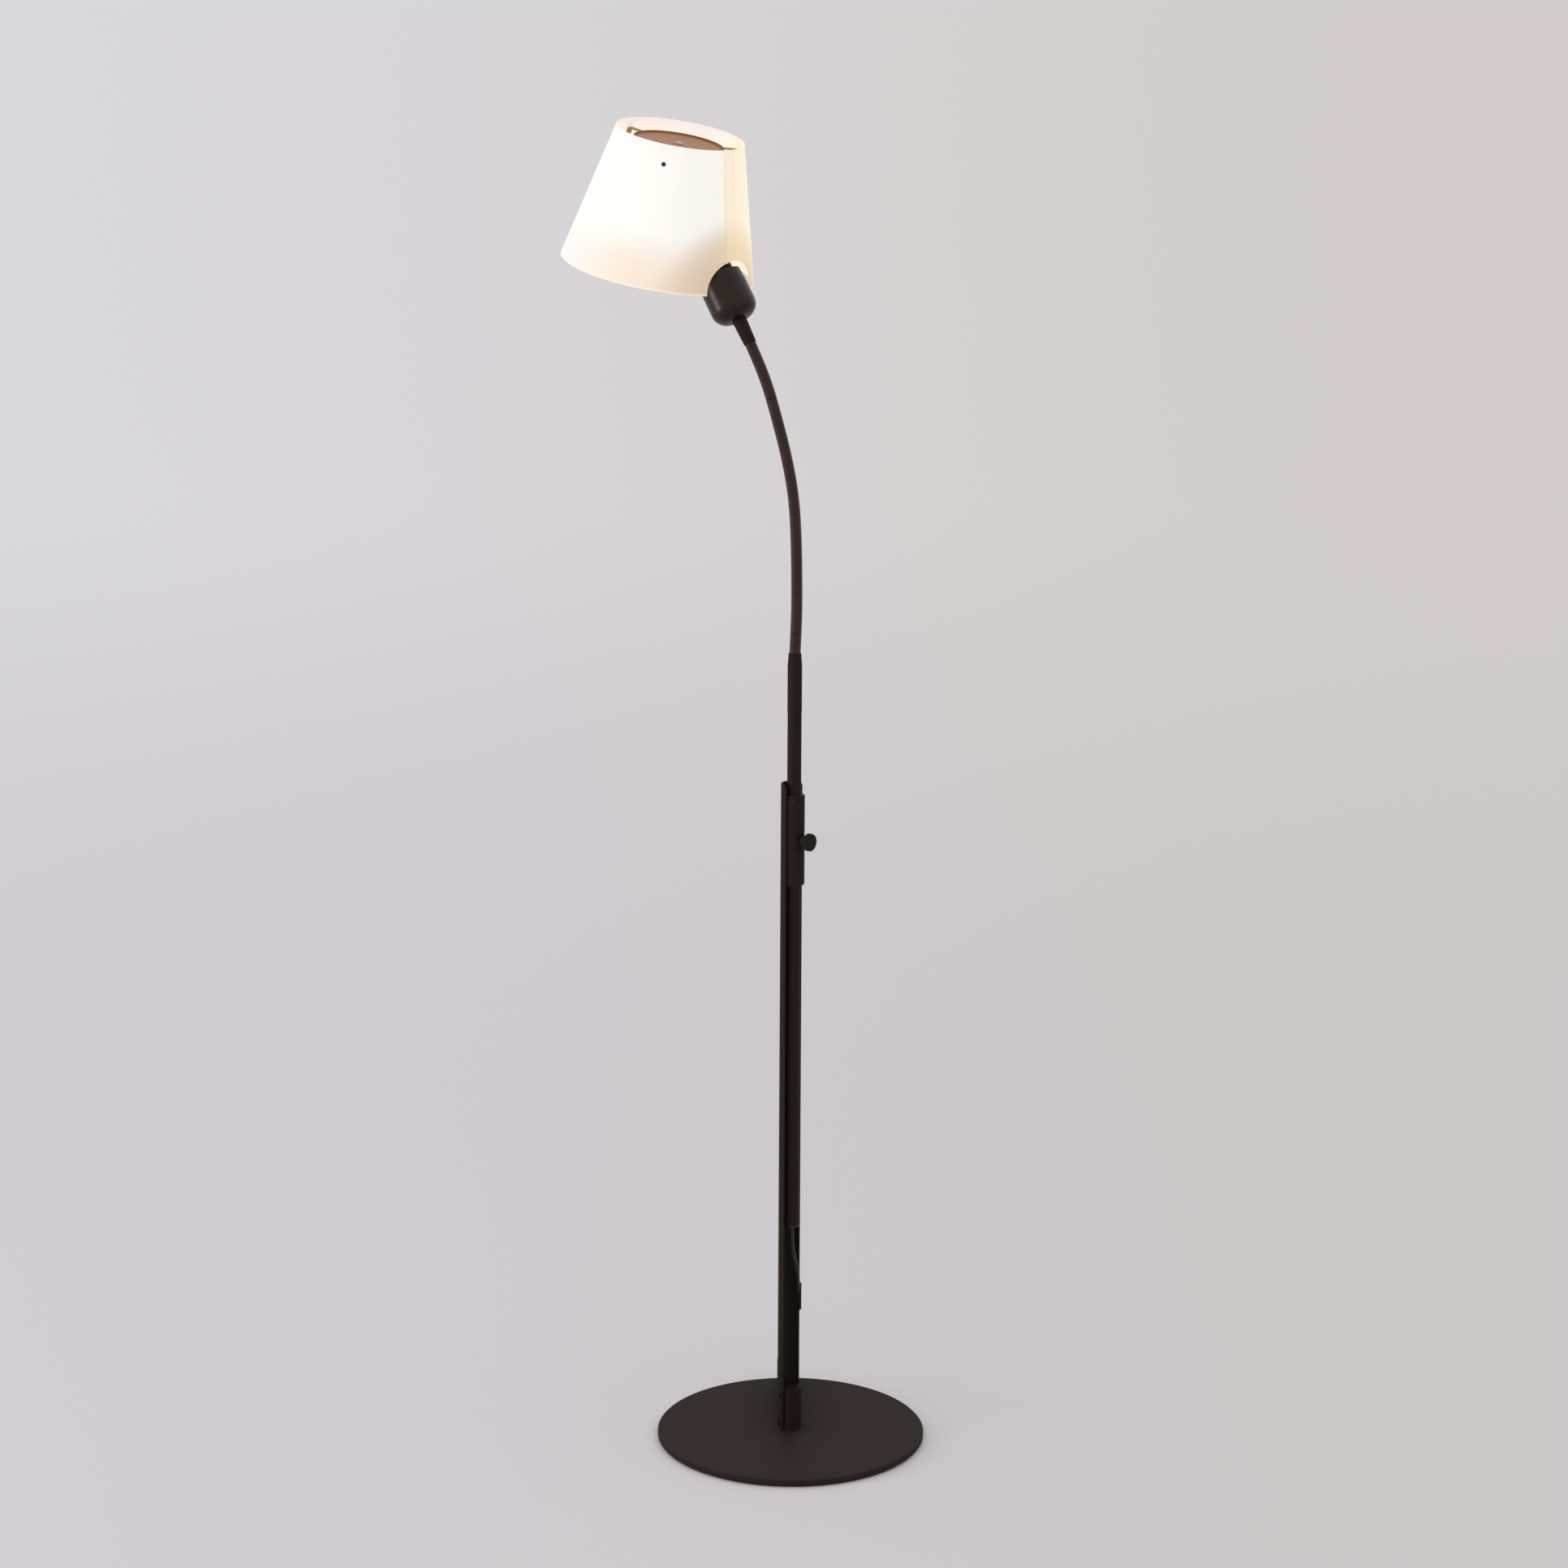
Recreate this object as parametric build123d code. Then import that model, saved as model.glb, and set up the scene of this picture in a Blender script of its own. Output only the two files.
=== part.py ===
from build123d import *
import math
import os

# Gooseneck reading floor lamp. Millimetres, +Z up. The origin is the middle of the base's underside.
# +X is the clamp knob's side, and the neck and the head lean towards -X.

# ---- driving dimensions: base and foot
BASE_D = 300.0            # steel base plate
BASE_T = 6.8
BASE_EDGE = 1.2           # bevelled rim of the plate
FELT_T = 1.2              # felt glued under the plate
FELT_INSET = 3.0          # felt's edge inside the plate's edge
SEAT_GAP = 0.3            # gap where a round piece sits in another one
FACE_GAP = 0.05           # gap between flat faces that touch
FIT = 0.05                # radial clearance of a shaft or screw in its hole
STUB_H = 46.0             # foot stub that the column is screwed to
BOLT_R = 4.0              # bolt that holds the stub on the plate
BOLT_HEAD_R = 8.0
BOLT_HEAD_H = 4.2
BOLT_REACH = 26.0         # bolt's length inside the stub

# ---- driving dimensions: column
COLUMN_R = 15.0           # outside radius of the half-pipe column
COLUMN_WALL = 2.5
COLUMN_H = 729.0          # from the plate's top
COLUMN_CORNER_R = 6.0     # rounded top corners
SCREW_R = 1.5             # small screws through the column
SCREW_HEAD_R = 2.3
SCREW_HEAD_T = 1.2
STUB_SCREW_REACH = 6.0    # screw's length from the column's outside inwards
SLEEVE_SCREW_REACH = 4.9
STUB_SCREW_BEARING = 109.0
STUB_SCREW_Z = (7.5, 39.5)       # above the plate's top
NOTCH_BEARING = 98.0      # where the cable leaves the column
NOTCH_Z = 153.0
NOTCH_H = 30.0
NOTCH_W = 9.0
GROMMET_LIP = 0.6         # how far the grommet stands proud of the wall

# ---- driving dimensions: guide sleeve and clamp
SLEEVE_H = 100.0
SLEEVE_DROP = 13.5        # sleeve's top below the column's top
BUSH_WALL = 1.5           # nylon bushes between the sleeve and the rod
BUSH_H = 22.0
BUSH_LIP_T = 1.0
BUSH_LIP_W = 1.2          # lip past the bush's outside
SLEEVE_SCREW_INSET = 30.0 # sleeve's back screws from its ends
GRUB_R = 1.6              # set screws that hold the upper bush
GRUB_BEARING = 62.0
GRUB_DROP = 5.5           # below the sleeve's top
KNOB_R = 9.8
KNOB_T = 6.5
KNOB_TEETH = 20           # knurled rim
KNOB_TOOTH = 0.7
KNOB_NECK_R = 6.0
KNOB_NECK_L = 6.5
KNOB_STANDOFF = 0.7       # knob's back face in front of the sleeve
SPINDLE_R = 3.0
SPINDLE_IN_KNOB = 8.0
BRAKE_R = 2.6             # nylon pad that the spindle presses on the rod
BRAKE_T = 2.0

# ---- driving dimensions: sliding rod
ROD_R = 8.0
ROD_WALL = 1.5
ROD_LOW = 236.0           # height of the rod's lower end at rest
ROD_TOP = 818.8
END_PLUG_LIP = 2.0
END_PLUG_L = 14.0
CABLE_R = 2.5
CABLE_ROOM = 0.4          # radial room round the cable in a bore

# ---- driving dimensions: gooseneck
FERRULE_R = 8.25
FERRULE_STRAIGHT = 51.5
FERRULE_CONE = 14.0
FERRULE_TOP_R = 7.2
FERRULE_SPIGOT = 20.0     # ferrule's length inside the rod
NECK_R = 6.55             # crest of the ribs
NECK_RIB = 0.6            # depth of a rib
NECK_SIDES = 12           # flat sides of a rib's section
NECK_RIBS = 12            # ribs in one link
NECK_BORE_R = 3.2
NECK_TAIL_L = 6.0         # plain end held in a ferrule
NECK_TAIL_ROOM = 0.6      # radial room for a tail, which leans a little in its ferrule
NECK_BEND = 11.0          # half angle that the coned ends leave for bending
NECK_END_GAP = 0.15
CABLE_TIP_R = 1.0         # cable stretch's end at a hinge, coned like the link's
NECK_LINK_L = (46.1, 45.0, 45.0, 43.2, 44.3, 44.5, 45.1, 45.9)
NECK_LINK_LEAN = (-3.0, 0.5, 1.8, 5.2, 14.0, 19.2, 21.3, 30.5)   # degrees from upright, to -X
UPPER_FERRULE_L = 30.0
UPPER_FERRULE_TOP_R = 8.4

# ---- driving dimensions: head
HEAD_LEAN = 33.0          # degrees from upright, to -X
CUP_R = 27.0
CUP_MOUTH_R = 25.8
CUP_SHOULDER_R = 17.0
CUP_TAPER_AT = 39.0       # where the wall starts to draw in to the mouth
CUP_L = 56.0
CUP_WALL = 2.4
CUP_FLOOR = 3.5
NIPPLE_R = 5.0
NIPPLE_BELOW = 14.0       # nipple's length inside the ferrule
NIPPLE_IN_HOLDER = 4.0
NUT_HALF = 8.5            # half of the nut's width across its flats
NUT_T = 4.0
HOLDER_LOW = 26.0         # lamp holder's foot above the cup's underside
HOLDER_BODY_R = 16.5
HOLDER_BODY_L = 34.0
HOLDER_SKIRT_R = 19.0
HOLDER_SKIRT_L = 38.0
HOLDER_EDGE = 2.0         # bevels of the holder
HOLDER_FLOOR = 40.0       # from the foot to the thread's floor
THREAD_R = 13.6
MOUTH_R = 16.0            # wider mouth above the thread
MOUTH_L = 6.0
COLLAR_AT = 82.0          # harp's collar above the cup's underside
COLLAR_T = 1.5
COLLAR_W = 5.4
RING_T = 8.0
RING_R = 22.4
CAP_R = 13.2              # lamp's screw cap
CAP_L = 25.0
CAP_FOOT = 4.5            # cap's lowest point above the thread's floor
CAP_CONE = 4.0
TONGUE_T = 1.2
BULB_R = 30.0
BULB_NECK_R = 13.4
BULB_L = 82.0             # glass, from the cap to the crown
BULB_SPREAD = 35.0        # degrees below the globe's middle where the neck starts
BULB_WALL = 1.0
CAP_WALL = 0.8

# ---- driving dimensions: shade
SHADE_BOTTOM = (-209.0, 0.0, 1306.5)
SHADE_LEAN = 12.2         # degrees from upright, to +X
SHADE_LOW_R = 114.0
SHADE_TOP_R = 75.5
SHADE_H = 161.5
SHADE_WALL = 1.2
SEAM_W = 16.0             # overlap of the rolled sheet
SEAM_T = 0.5
ARCH_W = 86.0             # cut-out for the cup
ARCH_H = 38.0
ARCH_TURN = 4.0           # degrees that the arch lies off the neck's side
DISC_R = 53.5
DISC_T = 1.0
DISC_LIP = 2.2
DISC_DROP = 12.0          # below the shade's top rim
ARM_W = 8.0
ARM_LAP = 4.0             # arm's length under the disc's lip
ARM_BEARINGS = (60.0, 180.0, 300.0)
TAB_L = 20.0
PIN_R = 1.5
PIN_HEAD_R = 2.6
PIN_HEAD_T = 0.9
PIN_TAIL = 0.8
PIVOT_DROP = 8.0          # pivot below the disc
BLOCK_W = 14.0
BLOCK_T = 12.0
BLOCK_H = 13.0
PIVOT_SCREW_R = 2.0
PIVOT_SCREW_HEAD_R = 4.0
PIVOT_SCREW_HEAD_T = 2.2
PIVOT_SCREW_OFF = 1.5     # screw's tip above the wire
HARP_WIRE_R = 1.6
HARP_HALF_W = 38.0
HARP_SPREAD = 26.0        # height over which the wire spreads from the collar
HARP_CROSS = 14.0         # half width of the straight top, which is the pivot
HARP_BEND_R = 9.0

# ---- driving dimensions: cord
CORD_R = 2.5
CORD_SIDES = 6            # flat sides of the cord's section
CORD_BEARING = 39.0       # bearing of the wound cord's side, square to the way it lies
EXIT_SLOPE = 25.0         # degrees from straight down at the notch
EXIT_HEADING = 135.0
RELIEF_L = 11.5           # tapered sleeve past the wall
RELIEF_R = 3.8
RELIEF_TIP_R = 2.95
HANK_NEAR = 23.5          # nearest corner of the hank from the column's axis
HANK_RUN = 37.5           # half the length of the hank's runs
HANK_FOLD_R = 15.0        # smallest fold
HANK_WAIST = 4.2          # half the height at the tie
HANK_STEP = 5.8           # from one loop, or layer, to the next
HANK_SIDE = 5.6           # sideways place of the first layer
HANK_END_CORNERS = 5      # corners of one fold
HANK_FIRST = 3            # first corner of the hank, half way round a fold
HANK_REVERSALS = (24, 42, 60)    # corners at waists where the spiral turns and climbs a layer
HANK_LAST = 68
# from the hank to the plug: along the hank, to its side and up, from its middle
LAST_BEND = (
    (61.5, -12.0, 3.0), (59.0, -11.5, 20.0), (46.0, -9.0, 31.5), (26.0, -5.0, 27.5), (8.0, -3.1, 20.9),
)
CORD_END = (-7.5, -3.1, 25.6)
# from the notch to the hank: behind the column, to its side and up
CORD_DROP = ((24.6, 6.0, 92.0), (23.7, 5.7, 58.0))
CORD_FIRST_RUN = 22.0
TIE_T = 0.8
TIE_W = 8.0
TIE_H = 38.4
TIE_D = 24.8
TIE_CORNER_R = 3.0
PLUG_TAIL_L = 12.0
PLUG_TAIL_R = 3.6
PLUG_L = 24.0
PLUG_W = 22.0
PLUG_T = 14.0
PLUG_EDGE_R = 2.5
BLADE_W = 6.3
BLADE_T = 1.5
BLADE_L = 17.0
BLADE_IN = 6.0
BLADE_PITCH = 12.7

# ---- worked-out places
BASE_TOP = FELT_T + BASE_T
COLUMN_TOP = BASE_TOP + COLUMN_H
COLUMN_IN = COLUMN_R - COLUMN_WALL
STUB_R = COLUMN_IN - SEAT_GAP
SLEEVE_TOP = COLUMN_TOP - SLEEVE_DROP
SLEEVE_LOW = SLEEVE_TOP - SLEEVE_H
BUSH_BORE_R = ROD_R + FIT
BUSH_R = BUSH_BORE_R + BUSH_WALL
SLEEVE_BORE_R = BUSH_R + FIT
CLAMP_Z = (SLEEVE_TOP + SLEEVE_LOW) / 2
KNOB_BACK = STUB_R + KNOB_STANDOFF
KNOB_BODY = KNOB_BACK + KNOB_NECK_L
KNOB_FACE = KNOB_BODY + KNOB_T
BRAKE_X = ROD_R + SEAT_GAP
ROD_BORE_R = ROD_R - ROD_WALL
FERRULE_TOP = ROD_TOP + FERRULE_STRAIGHT + FERRULE_CONE
NECK_ROOT_R = NECK_R - NECK_RIB
NECK_TAIL_R = NECK_ROOT_R - 0.1
FERRULE_BORE_R = NECK_TAIL_R + NECK_TAIL_ROOM
NIPPLE_BORE_R = CABLE_R + CABLE_ROOM
HOLDER_TOP = HOLDER_LOW + HOLDER_BODY_L + HOLDER_SKIRT_L
CAP_LOW = HOLDER_LOW + HOLDER_FLOOR + CAP_FOOT
GLASS_LOW = CAP_LOW + CAP_L + FACE_GAP
DISC_Z = SHADE_H - DISC_DROP
PIVOT_Z = DISC_Z - DISC_T - PIVOT_DROP


def lean_direction(degrees):
    """Unit vector in the XZ plane, that many degrees from upright towards -X."""
    angle = math.radians(degrees)
    return Vector(-math.sin(angle), 0, math.cos(angle))


def neck_points():
    """The neck's hinge points, from the lower ferrule's top to the upper ferrule's foot."""
    points = [Vector(0, 0, FERRULE_TOP)]
    for length, lean in zip(NECK_LINK_L, NECK_LINK_LEAN):
        points.append(points[-1] + lean_direction(lean) * length)
    return points


def leaning_frame(origin, lean):
    """Frame whose Z leans in the XZ plane, with Y as the lamp's Y."""
    axis = lean_direction(lean)
    return Plane(origin=origin, x_dir=(axis.Z, 0, -axis.X), z_dir=axis)


NECK = neck_points()
HEAD = leaning_frame(NECK[-1] + lean_direction(HEAD_LEAN) * UPPER_FERRULE_L, HEAD_LEAN)
SHADE = leaning_frame(SHADE_BOTTOM, -SHADE_LEAN)
PIVOT = SHADE.from_local_coords(Vector(0, 0, PIVOT_Z))
CORD_SIDE = Vector(math.cos(math.radians(CORD_BEARING)), math.sin(math.radians(CORD_BEARING)), 0)
CORD_AWAY = Vector(-CORD_SIDE.Y, CORD_SIDE.X, 0)


# ---- small helpers
def bar(radius, low, high):
    """Round bar on the Z axis between two heights."""
    return Pos(0, 0, low) * Cylinder(radius, high - low, align=(Align.CENTER, Align.CENTER, Align.MIN))


def pipe(outer, inner, low, high):
    """Tube on the Z axis between two heights."""
    return bar(outer, low, high) - bar(inner, low - 1, high + 1)


def radial(bearing, height):
    """Frame whose Z points outwards from the column's axis, at a bearing from +X."""
    angle = math.radians(bearing)
    outwards = (math.cos(angle), math.sin(angle), 0)
    return Plane(origin=(0, 0, height), x_dir=(0, 0, 1), z_dir=outwards)


def turned(*points):
    """Solid turned about Z from a closed outline of (radius, height) points."""
    outline = Polyline(*[(r, 0, z) for r, z in points], close=True)
    return revolve(make_face(outline), Axis.Z)


def tube(path, radius, sides):
    """Solid tube with flat sides along a path."""
    section = Plane(origin=path @ 0, z_dir=path % 0) * RegularPolygon(radius, sides)
    return sweep(section, path=path)


def bend_radii(points):
    """For each corner, 0.45 of the shorter run over the tangent of half the turn."""
    radii = []
    for a, b, c in zip(points, points[1:], points[2:]):
        turn = math.radians((b - a).get_angle(c - b))
        radii.append(0.45 * min((b - a).length, (c - b).length) / math.tan(turn / 2))
    return radii


# ---- base and foot
def base_felt():
    return bar(BASE_D / 2 - FELT_INSET, 0, FELT_T)


def base_plate():
    plate = bar(BASE_D / 2, FELT_T + FACE_GAP, BASE_TOP)
    plate = chamfer(plate.edges().filter_by(GeomType.CIRCLE), BASE_EDGE)
    sink_top = FELT_T + BOLT_HEAD_H + FACE_GAP
    return plate - turned((0, 0), (BOLT_HEAD_R + FIT, 0), (BOLT_HEAD_R + FIT, FELT_T + 2 * FACE_GAP),
                          (BOLT_R + FIT, sink_top), (BOLT_R + FIT, BASE_TOP + 1), (0, BASE_TOP + 1))


def base_bolt():
    low = FELT_T + FACE_GAP
    top = BASE_TOP + BOLT_REACH
    return turned((0, low), (BOLT_HEAD_R, low), (BOLT_R, low + BOLT_HEAD_H), (BOLT_R, top), (0, top))


def stub_screw_frames():
    return [radial(side * STUB_SCREW_BEARING, BASE_TOP + z) for side in (1, -1) for z in STUB_SCREW_Z]


def sleeve_screw_frames():
    heights = (SLEEVE_LOW + SLEEVE_SCREW_INSET, SLEEVE_TOP - SLEEVE_SCREW_INSET)
    return [radial(180, z) for z in heights]


def screw_holes(frames, reach):
    """Cutters for screws of that length from the column's outside."""
    return [frame * bar(SCREW_R + FIT, COLUMN_R - reach - FACE_GAP, COLUMN_R + 1) for frame in frames]


def screws(frames, reach):
    """Small round-headed screws, each along its frame's Z."""
    head = bar(SCREW_HEAD_R, COLUMN_R + FACE_GAP, COLUMN_R + FACE_GAP + SCREW_HEAD_T)
    screw = bar(SCREW_R, COLUMN_R - reach, COLUMN_R + FACE_GAP) + head
    return Compound([frame * screw for frame in frames])


def foot_stub():
    stub = bar(STUB_R, BASE_TOP + FACE_GAP, BASE_TOP + STUB_H)
    stub -= bar(BOLT_R + FIT, BASE_TOP - 1, BASE_TOP + BOLT_REACH + 1)
    return stub - screw_holes(stub_screw_frames(), STUB_SCREW_REACH)


# ---- column
def notch_block(slack):
    """Block that fills the notch at the column's edge, smaller by a slack all round."""
    block = Box(COLUMN_R, NOTCH_W - 2 * slack, NOTCH_H - 2 * slack)
    return Pos(0, 0, NOTCH_Z) * Rot(0, 0, NOTCH_BEARING) * Pos(COLUMN_R, 0, 0) * block


def column_channel():
    column = pipe(COLUMN_R, COLUMN_IN, BASE_TOP + FACE_GAP, COLUMN_TOP)
    column -= Pos(COLUMN_R, 0, COLUMN_TOP / 2) * Box(2 * COLUMN_R, 4 * COLUMN_R, 2 * COLUMN_TOP)
    corner = Box(COLUMN_CORNER_R, 4 * COLUMN_R, COLUMN_CORNER_R, align=(Align.MAX, Align.CENTER, Align.MAX))
    rounding = Pos(-COLUMN_CORNER_R, 0, -COLUMN_CORNER_R) * Rot(90, 0, 0)
    corner -= rounding * Cylinder(COLUMN_CORNER_R, 5 * COLUMN_R)
    column -= Pos(0, 0, COLUMN_TOP) * corner
    column -= screw_holes(stub_screw_frames(), STUB_SCREW_REACH)
    column -= screw_holes(sleeve_screw_frames(), SLEEVE_SCREW_REACH)
    return column - notch_block(0)


def exit_line():
    """The line that the cable follows through the notch: its middle and its direction."""
    bearing = math.radians(NOTCH_BEARING)
    reach = COLUMN_R - COLUMN_WALL / 2
    middle = Vector(reach * math.cos(bearing), reach * math.sin(bearing), NOTCH_Z)
    slope = math.radians(EXIT_SLOPE)
    heading = math.radians(EXIT_HEADING)
    flat = Vector(math.cos(heading), math.sin(heading), 0)
    return middle, flat * math.sin(slope) + Vector(0, 0, -math.cos(slope))


def cord_exit():
    """Where the cable leaves the column."""
    middle, out = exit_line()
    return middle + out * (COLUMN_WALL / math.sin(math.radians(EXIT_SLOPE)))


def cord_grommet():
    """Rubber block in the notch, its tapered sleeve, and a slanting hole for the cable."""
    block = notch_block(FIT) & pipe(COLUMN_R + GROMMET_LIP, COLUMN_IN - GROMMET_LIP, 0, 2 * NOTCH_Z)
    along = Plane(origin=cord_exit(), z_dir=exit_line()[1])
    taper = (RELIEF_R - RELIEF_TIP_R) / RELIEF_L
    root = COLUMN_WALL
    sleeve = turned((0, -root), (RELIEF_R + taper * root, -root), (RELIEF_TIP_R, RELIEF_L), (0, RELIEF_L))
    block += along * sleeve - bar(COLUMN_R + FIT, 0, 2 * NOTCH_Z)
    block -= along * bar(CABLE_R + FIT, -NOTCH_H, NOTCH_H)
    return block.solids().sort_by(SortBy.VOLUME)[-1]


# ---- guide sleeve and clamp
def guide_sleeve():
    sleeve = pipe(STUB_R, SLEEVE_BORE_R, SLEEVE_LOW, SLEEVE_TOP)
    sleeve -= screw_holes(sleeve_screw_frames(), SLEEVE_SCREW_REACH)
    sleeve -= radial(0, CLAMP_Z) * bar(SPINDLE_R + FIT, 0, STUB_R + 1)
    for side in (1, -1):
        sleeve -= radial(side * GRUB_BEARING, SLEEVE_TOP - GRUB_DROP) * bar(GRUB_R + FIT, 0, STUB_R + 1)
    return sleeve


def guide_bush():
    """Nylon bush, with a lip that covers the sleeve's end at height 0."""
    bush = pipe(BUSH_R, BUSH_BORE_R, -BUSH_LIP_T, BUSH_H)
    return bush + pipe(BUSH_R + BUSH_LIP_W, BUSH_BORE_R, -BUSH_LIP_T, -FACE_GAP)


def guide_bushes():
    lower = Pos(0, 0, SLEEVE_LOW) * guide_bush()
    upper = Pos(0, 0, SLEEVE_TOP) * Rot(180, 0, 0) * guide_bush()
    return Compound([lower, upper])


def bush_screws():
    frames = [radial(side * GRUB_BEARING, SLEEVE_TOP - GRUB_DROP) for side in (1, -1)]
    return Compound([frame * bar(GRUB_R, BUSH_R + SEAT_GAP, STUB_R - SEAT_GAP) for frame in frames])


def brake_pad():
    return radial(0, CLAMP_Z) * bar(BRAKE_R, BRAKE_X, BRAKE_X + BRAKE_T)


def clamp_spindle():
    return radial(0, CLAMP_Z) * bar(SPINDLE_R, BRAKE_X + BRAKE_T + SEAT_GAP, KNOB_BACK + SPINDLE_IN_KNOB)


def knurled(radius, low, high):
    """Bar with pointed teeth round its rim."""
    step = math.pi / KNOB_TEETH
    corners = []
    for i in range(2 * KNOB_TEETH):
        reach = radius - KNOB_TOOTH * (i % 2)
        corners.append((reach * math.cos(i * step), reach * math.sin(i * step)))
    return Pos(0, 0, low) * extrude(make_face(Polyline(*corners, close=True)), high - low)


def clamp_knob():
    body = knurled(KNOB_R, KNOB_BODY, KNOB_FACE)
    body &= turned((0, KNOB_BODY), (KNOB_R - KNOB_TOOTH, KNOB_BODY), (KNOB_R, KNOB_BODY + KNOB_TOOTH),
                   (KNOB_R, KNOB_FACE - KNOB_TOOTH), (KNOB_R - 2 * KNOB_TOOTH, KNOB_FACE), (0, KNOB_FACE))
    body += bar(KNOB_NECK_R, KNOB_BACK, KNOB_BODY)
    body -= bar(SPINDLE_R + FIT, KNOB_BACK - 1, KNOB_BACK + SPINDLE_IN_KNOB + FACE_GAP)
    return radial(0, CLAMP_Z) * body


# ---- sliding rod
def tube_end_plug():
    top = ROD_LOW + END_PLUG_LIP + END_PLUG_L
    plug = bar(ROD_R, ROD_LOW, ROD_LOW + END_PLUG_LIP) + bar(ROD_BORE_R - FIT, ROD_LOW, top)
    return plug - bar(CABLE_R + CABLE_ROOM, ROD_LOW - 1, top + 1)


def inner_rod():
    return pipe(ROD_R, ROD_BORE_R, ROD_LOW + END_PLUG_LIP + FACE_GAP, ROD_TOP)


def inner_cable():
    return bar(CABLE_R, ROD_LOW, FERRULE_TOP - SEAT_GAP)


def lower_ferrule():
    spigot_low = ROD_TOP - FERRULE_SPIGOT
    cone_low = ROD_TOP + FERRULE_STRAIGHT
    body = turned((0, spigot_low), (ROD_BORE_R - FIT, spigot_low), (ROD_BORE_R - FIT, ROD_TOP + FACE_GAP),
                  (FERRULE_R, ROD_TOP + FACE_GAP), (FERRULE_R, cone_low), (FERRULE_TOP_R, FERRULE_TOP),
                  (0, FERRULE_TOP))
    body -= bar(NECK_BORE_R, spigot_low - 1, FERRULE_TOP + 1)
    return body - bar(FERRULE_BORE_R, FERRULE_TOP - NECK_TAIL_L - SEAT_GAP, FERRULE_TOP + 1)


# ---- gooseneck
def flat_ring(radius, height, sides):
    """Closed outline at a height, with flat sides."""
    step = 2 * math.pi / sides
    corners = [Vector(radius * math.cos(i * step), radius * math.sin(i * step), height) for i in range(sides)]
    return Wire.make_polygon(corners, close=True)


def flat_sided(stations, sides):
    """Solid through flat-sided rings at (radius, height) stations."""
    return Solid.make_loft([flat_ring(r, z, sides) for r, z in stations], ruled=True)


def rib_stations(length, low_tail, high_tail):
    """Rings of one link: a coned end at each hinge, a plain tail in a ferrule, and ribs between them."""
    slope = math.tan(math.radians(NECK_BEND))
    core = NECK_BORE_R + NECK_RIB
    cone = NECK_END_GAP + NECK_ROOT_R * slope
    low = NECK_RIB if low_tail else cone
    high = length - (NECK_RIB if high_tail else cone)
    foot = [(core, NECK_END_GAP + core * slope)]
    head = [(core, length - NECK_END_GAP - core * slope)]
    if low_tail:
        foot = [(NECK_TAIL_R, -NECK_TAIL_L)]
    if high_tail:
        head = [(NECK_TAIL_R, length + NECK_TAIL_L)]
    pitch = (high - low) / NECK_RIBS
    ribs = []
    for i in range(NECK_RIBS):
        ribs += [(NECK_ROOT_R, low + i * pitch), (NECK_R, low + (i + 0.5) * pitch)]
    return foot + ribs + [(NECK_ROOT_R, high)] + head


def link_frame(number):
    return leaning_frame(NECK[number - 1], NECK_LINK_LEAN[number - 1])


def neck_link(number):
    """One link of the neck, a ribbed tube of flat-sided rings, from one hinge point to the next."""
    length = NECK_LINK_L[number - 1]
    link = flat_sided(rib_stations(length, number == 1, number == len(NECK_LINK_L)), NECK_SIDES)
    bore = flat_sided([(NECK_BORE_R, -NECK_TAIL_L - 1), (NECK_BORE_R, length + NECK_TAIL_L + 1)], NECK_SIDES)
    return link_frame(number) * (link - bore)


def neck_cable(number):
    """The cable's stretch inside one link, with coned ends. It bends at the hinges, where they meet."""
    length = NECK_LINK_L[number - 1]
    slope = math.tan(math.radians(NECK_BEND))
    tip = NECK_END_GAP + CABLE_TIP_R * slope
    full = NECK_END_GAP + CABLE_R * slope
    ends = [(CABLE_TIP_R, tip), (CABLE_R, full), (CABLE_R, length - full), (CABLE_TIP_R, length - tip)]
    return link_frame(number) * flat_sided(ends, NECK_SIDES)


def head_cable():
    """The cable from the neck's end into the lamp holder."""
    return HEAD * flat_sided([(CABLE_R, SEAT_GAP - UPPER_FERRULE_L), (CABLE_R, HOLDER_LOW)], NECK_SIDES)


def upper_ferrule():
    body = turned((0, -UPPER_FERRULE_L), (FERRULE_TOP_R, -UPPER_FERRULE_L),
                  (UPPER_FERRULE_TOP_R, -FACE_GAP), (0, -FACE_GAP))
    body -= bar(FERRULE_BORE_R, -UPPER_FERRULE_L - 1, NECK_TAIL_L + SEAT_GAP - UPPER_FERRULE_L)
    body -= bar(NECK_BORE_R, -UPPER_FERRULE_L - 1, 1)
    return HEAD * (body - bar(NIPPLE_R + FIT, -NIPPLE_BELOW - SEAT_GAP, 1))


# ---- head
def cup_form(wall_r, mouth_r, shoulder_r, low, high):
    """Turned form with a flat foot, a round shoulder and a mouth drawn in a little."""
    flat_r = wall_r - shoulder_r
    middle = math.sqrt(0.5) * shoulder_r
    start = (flat_r, 0, low)
    end = (wall_r, 0, low + shoulder_r)
    shoulder = ThreePointArc(start, (flat_r + middle, 0, low + shoulder_r - middle), end)
    rest = Polyline(end, (wall_r, 0, CUP_TAPER_AT), (mouth_r, 0, high), (0, 0, high), (0, 0, low), start)
    return revolve(make_face([*shoulder.edges(), *rest.edges()]), Axis.Z)


def head_cup():
    cup = cup_form(CUP_R, CUP_MOUTH_R, CUP_SHOULDER_R, 0, CUP_L)
    cup -= cup_form(CUP_R - CUP_WALL, CUP_MOUTH_R - CUP_WALL, CUP_SHOULDER_R - CUP_WALL, CUP_FLOOR, CUP_L + 1)
    return HEAD * (cup - bar(NIPPLE_R + FIT, -1, CUP_FLOOR + 1))


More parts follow.
